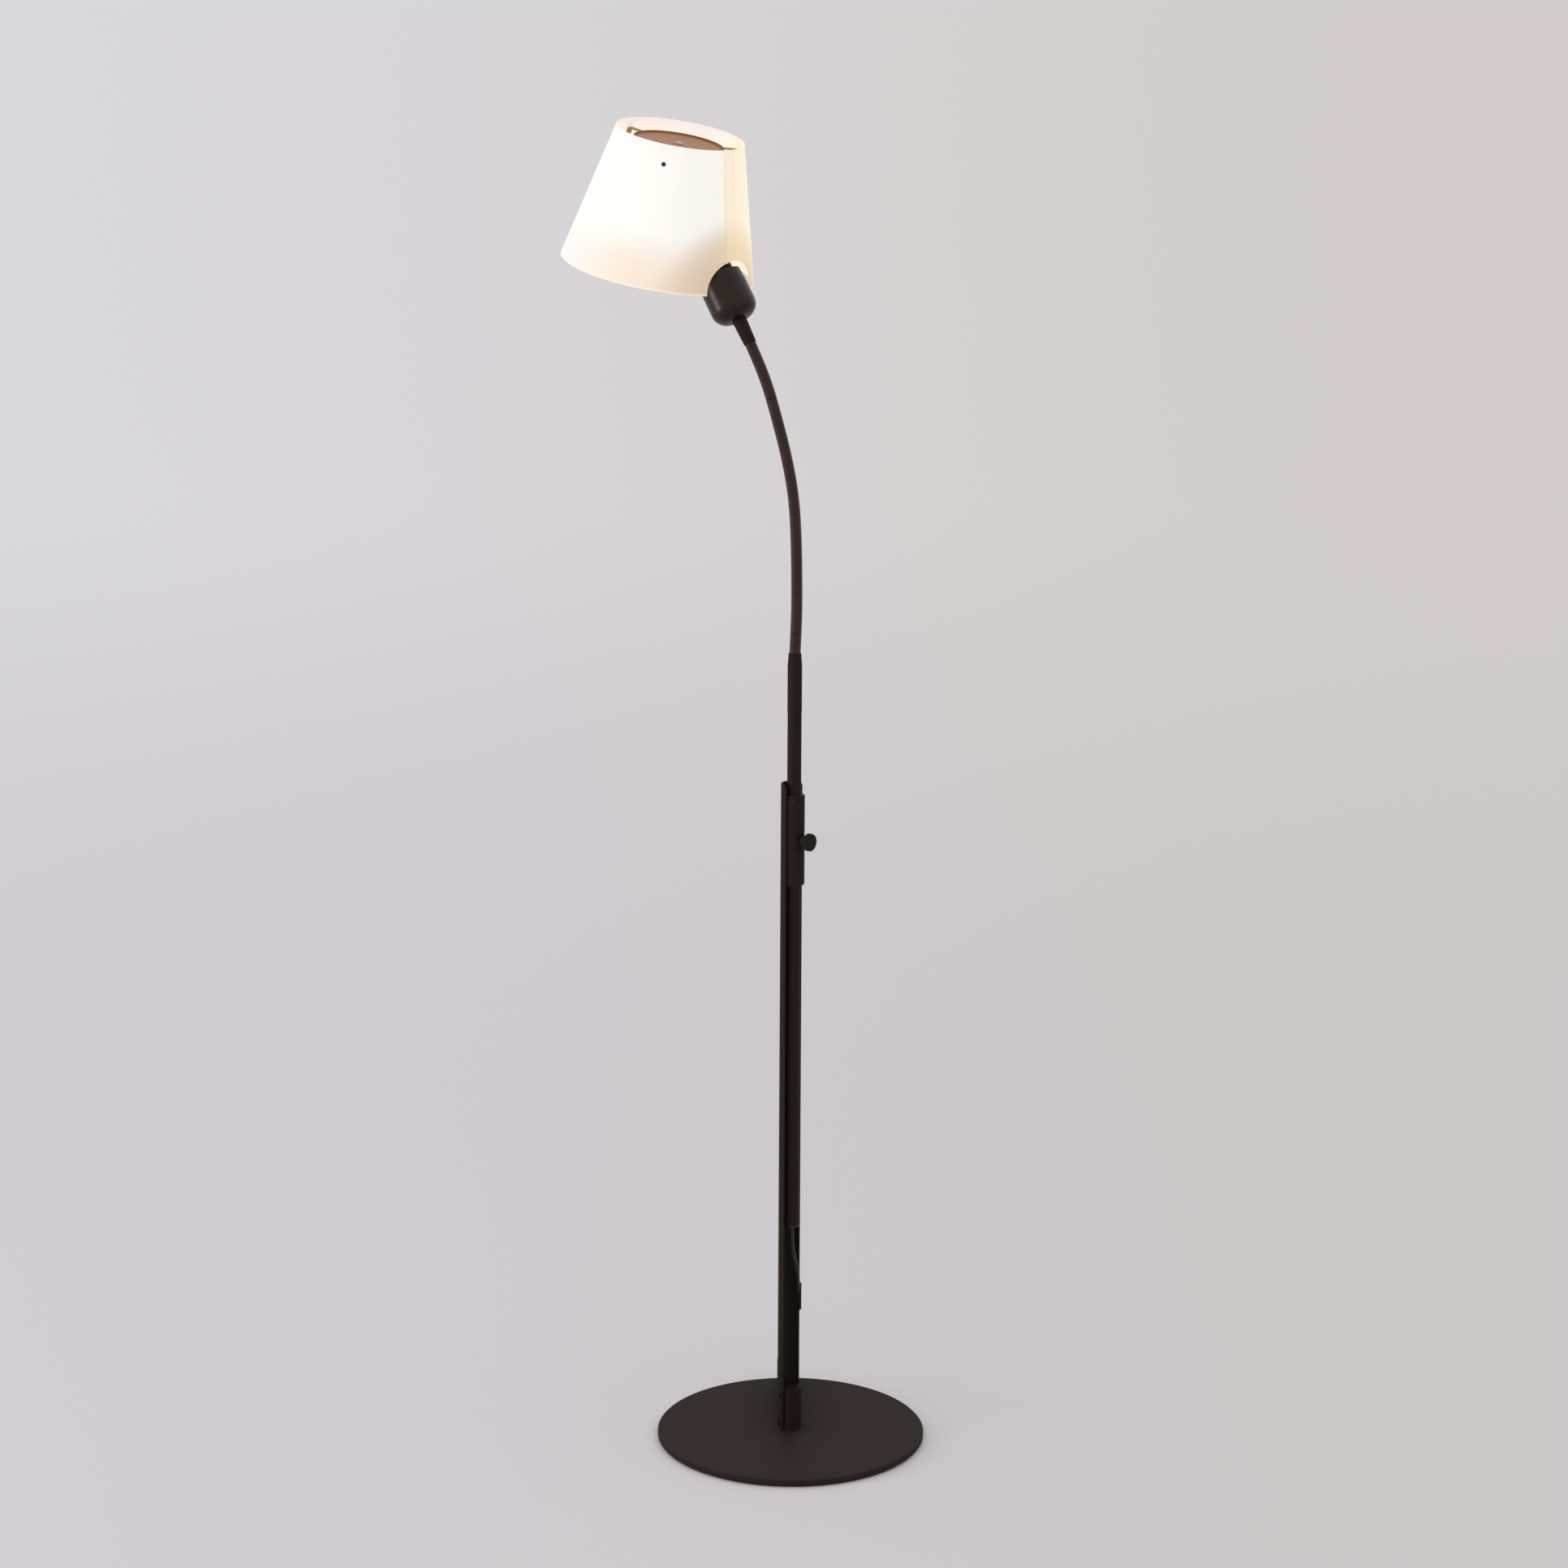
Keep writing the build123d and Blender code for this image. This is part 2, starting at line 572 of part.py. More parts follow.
def cup_nipple():
    return HEAD * pipe(NIPPLE_R, NIPPLE_BORE_R, -NIPPLE_BELOW, HOLDER_LOW + NIPPLE_IN_HOLDER)


def cup_nut():
    low = CUP_FLOOR + FACE_GAP
    nut = Pos(0, 0, low) * extrude(RegularPolygon(NUT_HALF, 6, major_radius=False), NUT_T)
    return HEAD * (nut - bar(NIPPLE_R + FIT, low - 1, low + NUT_T + 1))


def lamp_holder():
    skirt_low = HOLDER_LOW + HOLDER_BODY_L
    body = turned((0, HOLDER_LOW), (HOLDER_BODY_R - HOLDER_EDGE, HOLDER_LOW),
                  (HOLDER_BODY_R, HOLDER_LOW + HOLDER_EDGE), (HOLDER_BODY_R, skirt_low),
                  (HOLDER_SKIRT_R, skirt_low + HOLDER_EDGE), (HOLDER_SKIRT_R, HOLDER_TOP), (0, HOLDER_TOP))
    body -= bar(THREAD_R, HOLDER_LOW + HOLDER_FLOOR, HOLDER_TOP + 1)
    body -= bar(MOUTH_R, HOLDER_TOP - MOUTH_L, HOLDER_TOP + 1)
    return HEAD * (body - bar(NIPPLE_R + FIT, HOLDER_LOW - 1, HOLDER_LOW + NIPPLE_IN_HOLDER + SEAT_GAP))


def holder_contacts():
    """Centre tongue under the cap's tip and side tongue, on the holder's floor."""
    floor = HOLDER_LOW + HOLDER_FLOOR + FACE_GAP
    on_floor = (Align.CENTER, Align.CENTER, Align.MIN)
    centre = Pos(0, 0, floor) * Box(16, 5, TONGUE_T, align=on_floor)
    centre += Pos(-2, 0, floor) * Box(8, 4, CAP_FOOT - SEAT_GAP - FACE_GAP, align=on_floor)
    side = Pos(0, 9.5, floor) * Box(4, 3, 2 * TONGUE_T, align=on_floor)
    return HEAD * Compound([centre, side])


def holder_ring():
    low = COLLAR_AT + COLLAR_T + FACE_GAP
    return HEAD * pipe(RING_R, HOLDER_SKIRT_R + FIT, low, low + RING_T)


def bulb_cap():
    """Screw cap, open at its top where the glass is set in."""
    cap = turned((0, CAP_LOW), (CAP_CONE, CAP_LOW), (CAP_R, CAP_LOW + CAP_CONE), (CAP_R, CAP_LOW + CAP_L),
                 (0, CAP_LOW + CAP_L))
    return HEAD * (cap - bar(CAP_R - CAP_WALL, CAP_LOW + CAP_CONE + CAP_WALL, GLASS_LOW))


def bulb_form(inset):
    """The bulb's outline turned about its axis, inset from the glass's outside."""
    crown = GLASS_LOW + BULB_L
    centre = crown - BULB_R
    low = GLASS_LOW - inset
    radius = BULB_R - inset
    spread = math.radians(BULB_SPREAD)
    join = (radius * math.cos(spread), 0, centre - radius * math.sin(spread))
    belly = ThreePointArc(join, (radius, 0, centre), (0, 0, centre + radius))
    foot = (BULB_NECK_R - inset, 0, low)
    neck = Spline(foot, join, tangents=[(0, 0, 1), (math.sin(spread), 0, math.cos(spread))])
    sides = Polyline((0, 0, centre + radius), (0, 0, low), foot)
    return revolve(make_face([*neck.edges(), *belly.edges(), *sides.edges()]), Axis.Z)


def bulb_glass():
    return HEAD * (bulb_form(0) - bulb_form(BULB_WALL))


def harp_frame():
    """Flat frame of the harp, X across and Y up from the collar to the pivot, and its height."""
    foot = HEAD.from_local_coords(Vector(0, 0, COLLAR_AT + COLLAR_T / 2))
    up = (PIVOT - foot).normalized()
    across = Vector(0, 1, 0)
    return Plane(origin=foot, x_dir=across, z_dir=across.cross(up)), (PIVOT - foot).length


def shade_harp():
    """Bent wire round the lamp, from the collar on the holder to the straight top at the pivot."""
    frame, reach = harp_frame()
    foot = HOLDER_SKIRT_R + COLLAR_W + HARP_WIRE_R / 2
    side = [(foot, 0), (HARP_HALF_W, HARP_SPREAD), (HARP_HALF_W, reach - HARP_SPREAD), (HARP_CROSS, reach)]
    flat = side + [(-x, y) for x, y in reversed(side)]
    points = [frame.from_local_coords(Vector(x, y, 0)) for x, y in flat]
    wire = tube(FilletPolyline(*points, radius=HARP_BEND_R), HARP_WIRE_R, NECK_SIDES)
    collar = pipe(HOLDER_SKIRT_R + COLLAR_W, HOLDER_SKIRT_R + FIT, COLLAR_AT, COLLAR_AT + COLLAR_T)
    return HEAD * collar + wire


# ---- shade
def wall_radius(height):
    """Outside radius of the shade's wall at a height in the shade's own frame."""
    return SHADE_LOW_R - (SHADE_LOW_R - SHADE_TOP_R) * height / SHADE_H


def cone(inset, low, high):
    """Solid cone inside the shade's wall by an inset, between two heights."""
    return turned((0, low), (wall_radius(low) - inset, low), (wall_radius(high) - inset, high), (0, high))


def pin_frames():
    """Frames on the shade's wall, Z outwards, where the pins go through the arms' tabs."""
    height = DISC_Z - TAB_L / 2
    slant = math.atan((SHADE_LOW_R - SHADE_TOP_R) / SHADE_H)
    frames = []
    for bearing in ARM_BEARINGS:
        outwards = Vector(math.cos(math.radians(bearing)), math.sin(math.radians(bearing)), 0)
        origin = outwards * wall_radius(height) + Vector(0, 0, height)
        frames.append(Plane(origin=origin, z_dir=outwards * math.cos(slant) + Vector(0, 0, math.sin(slant))))
    return frames


def pin_holes():
    return [frame * bar(PIN_R + FIT, -PIN_HEAD_R - PIN_R, PIN_HEAD_R) for frame in pin_frames()]


def shade_shell():
    """Rolled sheet in the shape of a cone, its lapped seam, and the arch for the cup."""
    lap = Pos(SHADE_LOW_R, 0, SHADE_H / 2) * Box(SHADE_LOW_R, SEAM_W, 2 * SHADE_H)
    shell = cone(0, 0, SHADE_H) + (cone(-SEAM_T, 0, SHADE_H) & lap)
    shell -= cone(SHADE_WALL, -1, SHADE_H + 1)
    arch = extrude(Plane.YZ * Ellipse(ARCH_W / 2, ARCH_H), 2 * SHADE_LOW_R)
    shell -= Rot(0, 0, ARCH_TURN) * arch
    return SHADE * (shell - pin_holes())


def disc_arm():
    """Arm at +X from the disc's edge to the wall, with its tab turned down along the wall."""
    slant = math.atan((SHADE_LOW_R - SHADE_TOP_R) / SHADE_H)
    inset = SHADE_WALL + SEAT_GAP / math.cos(slant)
    tip = wall_radius(DISC_Z) - inset
    root = DISC_R - ARM_LAP
    arm = Pos(root, 0, DISC_Z) * Box(tip - root, ARM_W, DISC_T, align=(Align.MIN, Align.CENTER, Align.MAX))
    band = cone(inset, DISC_Z - TAB_L, DISC_Z) - cone(inset + DISC_T, DISC_Z - TAB_L - 1, DISC_Z + 1)
    return arm + (band & Pos(SHADE_LOW_R, 0, DISC_Z) * Box(2 * SHADE_LOW_R - 2, ARM_W, 3 * TAB_L))


def heat_disc():
    """Round plate under the shade's top rim, with a raised lip and three arms."""
    disc = bar(DISC_R, DISC_Z - DISC_T, DISC_Z)
    disc += pipe(DISC_R, DISC_R - DISC_T, DISC_Z - DISC_T, DISC_Z + DISC_LIP)
    for bearing in ARM_BEARINGS:
        disc += Rot(0, 0, bearing) * disc_arm()
    disc -= bar(PIVOT_SCREW_R + FIT, DISC_Z - 2 * DISC_T, DISC_Z + DISC_T)
    return SHADE * (disc - pin_holes())


def shade_pins():
    """Pins through the wall and the tabs, with round heads outside."""
    inner = -SHADE_WALL - SEAT_GAP - DISC_T - PIN_TAIL
    pin = bar(PIN_R, inner, FACE_GAP) + bar(PIN_HEAD_R, FACE_GAP, FACE_GAP + PIN_HEAD_T)
    return SHADE * Compound([frame * pin for frame in pin_frames()])


def pivot_block():
    """Block under the disc that turns on the harp's straight top."""
    top = DISC_Z - DISC_T - FACE_GAP
    block = Pos(0, 0, top) * Box(BLOCK_T, BLOCK_W, BLOCK_H, align=(Align.CENTER, Align.CENTER, Align.MAX))
    block = chamfer(block.edges().filter_by(Axis.Y).group_by(Axis.Z)[0], HARP_WIRE_R)
    block -= Pos(0, 0, PIVOT_Z) * Rot(90, 0, 0) * Cylinder(HARP_WIRE_R + FIT, 2 * BLOCK_W)
    tip = PIVOT_Z + HARP_WIRE_R + PIVOT_SCREW_OFF
    return SHADE * (block - bar(PIVOT_SCREW_R + FIT, tip - FACE_GAP, top + 1))


def pivot_screw():
    head_low = DISC_Z + FACE_GAP
    head_top = head_low + PIVOT_SCREW_HEAD_T
    bevel = PIVOT_SCREW_HEAD_T / 2
    tip = PIVOT_Z + HARP_WIRE_R + PIVOT_SCREW_OFF
    return SHADE * turned((0, tip), (PIVOT_SCREW_R, tip), (PIVOT_SCREW_R, head_low),
                          (PIVOT_SCREW_HEAD_R, head_low), (PIVOT_SCREW_HEAD_R, head_top - bevel),
                          (PIVOT_SCREW_HEAD_R - bevel, head_top), (0, head_top))


# ---- cord
def behind(away, side, height):
    """Point by its place behind the column, to its side, and its height."""
    return CORD_AWAY * away + CORD_SIDE * side + Vector(0, 0, height)


def loop_corners():
    """Corners of one loop: two folds and the waist's two."""
    return 2 * HANK_END_CORNERS + 2


def loop_growth(corner):
    """How far out a corner of the hank lies: the spiral goes in, out, in and out again."""
    inner, outer, again = HANK_REVERSALS
    nearest = inner if corner < outer else again
    return HANK_STEP * abs(nearest - corner) / loop_corners()


def waist_slant():
    """Angle of a run that goes from the tie to the fold's round."""
    reach = math.hypot(HANK_RUN, HANK_WAIST)
    return math.asin(HANK_FOLD_R / reach) - math.atan(HANK_WAIST / HANK_RUN)


def fold_turn():
    return (math.pi + 2 * waist_slant()) / HANK_END_CORNERS


def hank_middle():
    """Place behind the column and height of the hank's middle, which leaves it standing on the plate."""
    reach = (HANK_FOLD_R + loop_growth(HANK_FIRST)) / math.cos(fold_turn() / 2)
    lowest = HANK_FOLD_R + loop_growth(HANK_END_CORNERS)
    return HANK_NEAR + HANK_RUN + reach, BASE_TOP + SEAT_GAP + CORD_R + lowest


def in_hank(along, side, up):
    """Point by its place along the hank, to its side and up, from the hank's middle."""
    away, height = hank_middle()
    return behind(away + along, side, height + up)


def hank_corner(corner):
    """One corner of the loops: 0 is the waist's top, then the near fold, its foot, and the far fold."""
    place = corner % loop_corners()
    growth = loop_growth(corner)
    climbed = sum(1 for reversal in HANK_REVERSALS if corner > reversal)
    side = HANK_SIDE - HANK_STEP * climbed
    if place % (HANK_END_CORNERS + 1) == 0:
        up = HANK_WAIST + growth
        return in_hank(0, side, up if place == 0 else -up)
    near = place <= HANK_END_CORNERS
    step = place - 1 if near else place - HANK_END_CORNERS - 2
    start = math.pi / 2 - waist_slant() if near else -math.pi / 2 - waist_slant()
    angle = start + fold_turn() * (step + 0.5)
    reach = (HANK_FOLD_R + growth) / math.cos(fold_turn() / 2)
    fold = -HANK_RUN if near else HANK_RUN
    return in_hank(fold + reach * math.cos(angle), side, reach * math.sin(angle))


def cord_corners():
    """The cord's corners: down behind the column, and round the hank's loops to the plug."""
    start = cord_exit()
    drop = [start, start + exit_line()[1] * CORD_FIRST_RUN] + [behind(*place) for place in CORD_DROP]
    loops = [hank_corner(corner) for corner in range(HANK_FIRST, HANK_LAST + 1)]
    tail = [in_hank(*place) for place in LAST_BEND + (CORD_END,)]
    return drop, loops + tail


def hanging_cable():
    """Cable from the rod's lower end to the notch, inside the column."""
    middle, out = exit_line()
    points = [Vector(0, 0, ROD_LOW), Vector(0, 0, ROD_LOW - 26), middle - out * 31, cord_exit()]
    radii = bend_radii(points)
    print("hanging cable: bend radii", [round(r, 1) for r in radii])
    return tube(FilletPolyline(*points, radius=radii), CABLE_R, CORD_SIDES)


def tell(name, path, solid, area):
    """Print a cord's length and compare its volume with section times length."""
    print(name, "length", round(path.length, 1), "volume over section times length",
          round(solid.volume / (area * path.length), 4))


def power_cord():
    """The cord from the notch down to the hank, half way along the last run."""
    drop, loops = cord_corners()
    radii = bend_radii(drop + loops[:1])
    end = (drop[-1] + loops[0]) / 2
    path = FilletPolyline(*drop, end, radius=radii)
    cord = tube(path, CORD_R, CORD_SIDES)
    print("power cord: bend radii", [round(r, 1) for r in radii])
    tell("power cord", path, cord, RegularPolygon(CORD_R, CORD_SIDES).area)
    return cord


def least_gap(path):
    """Least gap of the wound cord to itself, on points along it."""
    count = int(path.length / CORD_R)
    points = [tuple(path @ (i / count)) for i in range(count + 1)]
    skip = int(4 * HANK_FOLD_R / CORD_R)
    return min(math.dist(a, b) for i, a in enumerate(points) for b in points[i + skip:]) - 2 * CORD_R


def cord_hank():
    """The put-away length: one tube wound in four layers, and its stretch to the plug."""
    drop, loops = cord_corners()
    start = (drop[-1] + loops[0]) / 2
    radii = bend_radii([start] + loops)
    path = FilletPolyline(start, *loops, radius=radii)
    hank = tube(path, CORD_R, CORD_SIDES)
    print("hank: least bend radius", round(min(radii), 1), "least gap to itself", round(least_gap(path), 2))
    tell("hank", path, hank, RegularPolygon(CORD_R, CORD_SIDES).area)
    return hank


def cord_tie():
    """Strap round the hank's waist."""
    away, height = hank_middle()
    side = HANK_SIDE - 1.5 * HANK_STEP
    frame = Plane(origin=behind(away, side, height), x_dir=CORD_SIDE, z_dir=CORD_AWAY)
    outer = RectangleRounded(TIE_D, TIE_H, TIE_CORNER_R)
    inner = RectangleRounded(TIE_D - 2 * TIE_T, TIE_H - 2 * TIE_T, TIE_CORNER_R - TIE_T)
    return frame * extrude(outer - inner, TIE_W / 2, both=True)


def plug_frame():
    """Frame at the cord's end: Z along the plug to its blades, X across it."""
    points = cord_corners()[1]
    return Plane(origin=points[-1], x_dir=CORD_SIDE, z_dir=points[-1] - points[-2])


def plug_body():
    """Moulded plug with a tapered tail."""
    low = PLUG_TAIL_L
    body = Pos(0, 0, low) * Box(PLUG_W, PLUG_T, PLUG_L, align=(Align.CENTER, Align.CENTER, Align.MIN))
    body = chamfer(body.edges().filter_by(Axis.Z), PLUG_EDGE_R)
    body += turned((0, FACE_GAP), (PLUG_TAIL_R, FACE_GAP), (PLUG_T / 2 - 1, low), (0, low))
    slot = Box(BLADE_T + 2 * FIT, BLADE_W + 2 * FIT, 2 * BLADE_IN)
    for side in (1, -1):
        body -= Pos(side * BLADE_PITCH / 2, 0, low + PLUG_L) * slot
    return plug_frame() * body


def plug_blades():
    top = PLUG_TAIL_L + PLUG_L
    size = (BLADE_T, BLADE_W, BLADE_IN + BLADE_L - FACE_GAP)
    blade = Pos(0, 0, top - BLADE_IN + FACE_GAP) * Box(*size, align=(Align.CENTER, Align.CENTER, Align.MIN))
    return plug_frame() * Compound([Pos(side * BLADE_PITCH / 2, 0, 0) * blade for side in (1, -1)])


def write(name, part):
    """Write one sub-part's solids."""
    solids = list(part.solids())
    shape = solids[0] if len(solids) == 1 else Compound(solids)
    export_step(shape, f"parts/{name}.step")


os.makedirs("parts", exist_ok=True)
write("base_felt", base_felt())
write("base_plate", base_plate())
write("base_bolt", base_bolt())
write("foot_stub", foot_stub())
write("stub_screws", screws(stub_screw_frames(), STUB_SCREW_REACH))
write("column_channel", column_channel())
write("sleeve_screws", screws(sleeve_screw_frames(), SLEEVE_SCREW_REACH))
write("cord_grommet", cord_grommet())
write("guide_sleeve", guide_sleeve())
write("guide_bushes", guide_bushes())
write("bush_screws", bush_screws())
write("brake_pad", brake_pad())
write("clamp_spindle", clamp_spindle())
write("clamp_knob", clamp_knob())
write("tube_end_plug", tube_end_plug())
write("inner_rod", inner_rod())
write("inner_cable", inner_cable())
write("lower_ferrule", lower_ferrule())
for link in range(1, len(NECK_LINK_L) + 1):
    write(f"neck_link_{link}", neck_link(link))
    write(f"neck_cable_{link}", neck_cable(link))
write("head_cable", head_cable())
write("upper_ferrule", upper_ferrule())
write("head_cup", head_cup())
write("cup_nipple", cup_nipple())
write("cup_nut", cup_nut())
write("lamp_holder", lamp_holder())
write("holder_contacts", holder_contacts())
write("holder_ring", holder_ring())
write("bulb_cap", bulb_cap())
write("bulb_glass", bulb_glass())
write("shade_harp", shade_harp())
write("shade_shell", shade_shell())
write("heat_disc", heat_disc())
write("shade_pins", shade_pins())
write("pivot_block", pivot_block())
write("pivot_screw", pivot_screw())
write("hanging_cable", hanging_cable())
write("power_cord", power_cord())
write("cord_hank", cord_hank())
write("cord_tie", cord_tie())
write("plug_body", plug_body())
write("plug_blades", plug_blades())
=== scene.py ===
import bpy
import math
from mathutils import Matrix, Vector


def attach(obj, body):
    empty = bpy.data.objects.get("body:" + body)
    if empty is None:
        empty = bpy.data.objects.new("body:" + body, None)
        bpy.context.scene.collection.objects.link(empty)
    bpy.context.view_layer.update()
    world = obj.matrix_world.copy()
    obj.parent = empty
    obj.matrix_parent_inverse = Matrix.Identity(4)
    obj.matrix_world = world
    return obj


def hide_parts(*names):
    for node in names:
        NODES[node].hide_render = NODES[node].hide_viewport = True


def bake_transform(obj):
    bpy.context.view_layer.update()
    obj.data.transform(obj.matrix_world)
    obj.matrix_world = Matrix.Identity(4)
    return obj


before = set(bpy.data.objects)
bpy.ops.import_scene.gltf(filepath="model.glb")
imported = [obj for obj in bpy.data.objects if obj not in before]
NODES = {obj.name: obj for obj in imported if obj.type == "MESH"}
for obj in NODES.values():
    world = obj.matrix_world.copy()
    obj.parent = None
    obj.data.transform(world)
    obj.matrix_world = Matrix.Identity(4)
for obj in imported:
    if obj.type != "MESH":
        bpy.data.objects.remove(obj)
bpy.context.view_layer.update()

# The looks of the gooseneck reading floor lamp. Metres, +Z up, in the frame of the solids.
# The neck and the head lean towards -X, and the clamp's knob is on the +X side.

MM = 0.001

# ---- places that the solids share
NECK_LENGTHS = (46.1, 45.0, 45.0, 43.2, 44.3, 44.5, 45.1, 45.9)
NECK_LEANS = (-3.0, 0.5, 1.8, 5.2, 14.0, 19.2, 21.3, 30.5)      # degrees from upright, to -X
NECK_FOOT = 884.3 * MM
NECK_CREST = 6.55 * MM
NECK_GROOVE = 0.75 * MM
NECK_PITCH = 1.8 * MM
HEAD_LEAN = 33.0
UPPER_FERRULE = 30.0 * MM
BULB_ALONG = 147.6 * MM        # globe's middle from the cup's underside
SHADE_FOOT = Vector((-0.209, 0, 1.3065))
SHADE_LEAN = 12.2              # degrees from upright, to +X
SEAM_HALF = 8.0 * MM
DISC_R = 53.5 * MM
WARM_GLOSS = (1.0, 0.80, 0.70, 1)      # tint of the gloss of dark paint

# ---- the photograph's view
VIEW_AZIMUTH = math.radians(39.0)
VIEW_RIGHT = Vector((math.cos(VIEW_AZIMUTH), math.sin(VIEW_AZIMUTH), 0))
VIEW_BACK = Vector((math.sin(VIEW_AZIMUTH), -math.cos(VIEW_AZIMUTH), 0))
VIEW_DISTANCE = 4.525          # from the column's axis, level
VIEW_SIDE = -0.01156
VIEW_HEIGHT = 1.766
VIEW_ROLL = math.radians(0.33)
SENSOR = 36.0
IMAGE_SIZE = 1932.0
FOCAL_PIXELS = 4925.0
SHIFT = (-0.00334, -0.58022)   # a level view, moved down to the lamp
CLIP_END = 200.0

# ---- ground and light
FLOOR_HALF = 70.0
NEAR_GROUND = (7.0, 0.6)       # distances over which the ground's far colours pass into its near ones
FAR_SPREAD = 0.22              # half of the view, as a tangent, over which the far colours change
NEAR_SPREAD = 1.0              # half width over which the near colours change
# painted light on the ground: lighter and cooler far off on the left, darker and warmer on the right, darker
# near the lamp
FAR_LEFT = (0.725, 0.718, 0.755, 1)
FAR_RIGHT = (0.660, 0.628, 0.610, 1)
NEAR_LEFT = (0.60, 0.59, 0.625, 1)
NEAR_RIGHT = (0.60, 0.58, 0.58, 1)
SKY_SPREAD = 0.2
SKY_LEFT = (0.703, 0.694, 0.726, 1)
SKY_RIGHT = (0.643, 0.610, 0.592, 1)
EVEN_LIGHT = (1.0, 0.99, 0.985, 1)
EVEN_STRENGTH = 0.97
KEY_BACK = 1.0                 # the lamp's place: towards the camera, to the left and up
KEY_LEFT = 3.8
KEY_HEIGHT = 0.8
KEY_AIM = 0.9                  # height on the column's axis that the lamp points at
KEY_SIZE = 1.3
KEY_WATTS = 48.0
KEY_COLOUR = (1.0, 0.97, 0.95)

# ---- the lit shade: places in metres along, across and beside its own axis
GLOW_REACH = (0.150, 0.080)    # distances from the globe over which the sheet gets bright
FOOT_BAND = (0.070, 0.010)     # heights over which the painted glow at the sheet's foot turns cream
FOOT_ACROSS = (-0.060, 0.040)
CUP_SHADOW = (0.60, 0.96)      # cosines to the cup's direction over which its shadow deepens
CUP_SHADOW_DEPTH = 0.80
SEAM_ACROSS = (0.0, 0.02)      # the seam is only on the side towards the neck
LAP_SOFT = 0.0004
LAP_DEPTH = 0.22
SEAM_LINE = (0.0018, 0.0002)   # distances from the lap's edges over which their lines darken
SEAM_LINE_DEPTH = 0.28
# painted gold-tinted glow beside the seam
LIT_GOLD_BESIDE = (-0.030, 0.012)
LIT_GOLD_DEPTH = 0.5
RIM_BAND = (0.0030, 0.0010)
RIM_DEPTH = 0.6
# colours of the sheet's painted glow, the globe's light through it, and of the cup's painted shadow in it
SHEET_FAR = (0.57, 0.48, 0.50, 1)
SHEET_NEAR = (0.60, 0.61, 0.61, 1)
SHEET_CREAM_GLOW = (0.55, 0.45, 0.36, 1)
SHEET_SHADOW = (0.31, 0.19, 0.09, 1)
SHEET_LIT_GOLD = (0.66, 0.53, 0.24, 1)
SHEET_LAP = (0.52, 0.40, 0.26, 1)
SHEET_LINE = (0.38, 0.20, 0.0, 1)
SHEET_RIM_GLOW = (0.60, 0.56, 0.46, 1)
SHEET_CLOTH = ((0.405, 0.365, 0.315, 1), (0.435, 0.395, 0.345, 1))
DISC_LIP = (0.0016, 0.0006)    # the lit golden lip starts this far inside the disc's edge
DISC_SHADED_FACE = ((0.31, 0.137, 0.067, 1), (0.38, 0.178, 0.087, 1))
DISC_LIT_GOLD = ((0.24, 0.16, 0.02, 1), (0.33, 0.23, 0.045, 1))
GLOBE_GLOW = (-0.055, -0.010)  # places along the globe's axis over which it gets bright
GLOBE_DIM = (0.9, 0.55, 0.28, 1)
GLOBE_BRIGHT = (1.0, 0.90, 0.72, 1)
GLOBE_GLASS = ((0.80, 0.78, 0.72, 1), (0.86, 0.84, 0.80, 1))
GLOBE_STRENGTH = 2.6


def lean_direction(degrees):
    """Unit vector in the XZ plane, that many degrees from upright towards -X."""
    angle = math.radians(degrees)
    return Vector((-math.sin(angle), 0, math.cos(angle)))


def neck_points():
    points = [Vector((0, 0, NECK_FOOT))]
    for length, lean in zip(NECK_LENGTHS, NECK_LEANS):
        points.append(points[-1] + lean_direction(lean) * length * MM)
    return points


NECK = neck_points()
HEAD_AXIS = lean_direction(HEAD_LEAN)
HEAD_FOOT = NECK[-1] + HEAD_AXIS * UPPER_FERRULE
BULB = HEAD_FOOT + HEAD_AXIS * BULB_ALONG
SHADE_AXIS = lean_direction(-SHADE_LEAN)
SHADE_ACROSS = Vector((SHADE_AXIS.z, 0, -SHADE_AXIS.x))


# ---- camera, floor and light
def place_camera():
    data = bpy.data.cameras.new("camera")
    data.sensor_width = SENSOR
    data.lens = FOCAL_PIXELS / IMAGE_SIZE * SENSOR
    data.shift_x, data.shift_y = SHIFT
    data.clip_end = CLIP_END
    camera = bpy.data.objects.new("camera", data)
    turn = Matrix((VIEW_RIGHT, Vector((0, 0, 1)), VIEW_BACK)).transposed().to_4x4()
    place = VIEW_BACK * VIEW_DISTANCE + VIEW_RIGHT * VIEW_SIDE + Vector((0, 0, VIEW_HEIGHT))
    camera.matrix_world = Matrix.Translation(place) @ turn @ Matrix.Rotation(VIEW_ROLL, 4, "Z")
    bpy.context.scene.collection.objects.link(camera)
    bpy.context.scene.camera = camera


def new_material(name):
    """Material with an empty tree but for its output."""
    material = bpy.data.materials.new(name)
    material.use_nodes = True
    tree = material.node_tree
    tree.nodes.clear()
    tree.nodes.new("ShaderNodeOutputMaterial")
    return material, tree


def feed(tree, socket, value):
    """Sets a socket to a number, a colour or another node's output."""
    if isinstance(value, bpy.types.NodeSocket):
        tree.links.new(value, socket)
    else:
        socket.default_value = value


def calc(tree, operation, *values):
    node = tree.nodes.new("ShaderNodeMath")
    node.operation = operation
    for socket, value in zip(node.inputs, values):
        feed(tree, socket, value)
    return node.outputs[0]


def vector_calc(tree, operation, *values):
    node = tree.nodes.new("ShaderNodeVectorMath")
    node.operation = operation
    for socket, value in zip(node.inputs, values):
        feed(tree, socket, value)
    return node.outputs["Value" if operation in ("DOT_PRODUCT", "LENGTH") else "Vector"]


def ramp(tree, value, low, high):
    """Smooth step from 0 at low to 1 at high."""
    node = tree.nodes.new("ShaderNodeMapRange")
    node.interpolation_type = "SMOOTHSTEP"
    node.inputs["From Min"].default_value = low
    node.inputs["From Max"].default_value = high
    feed(tree, node.inputs["Value"], value)
    return node.outputs["Result"]


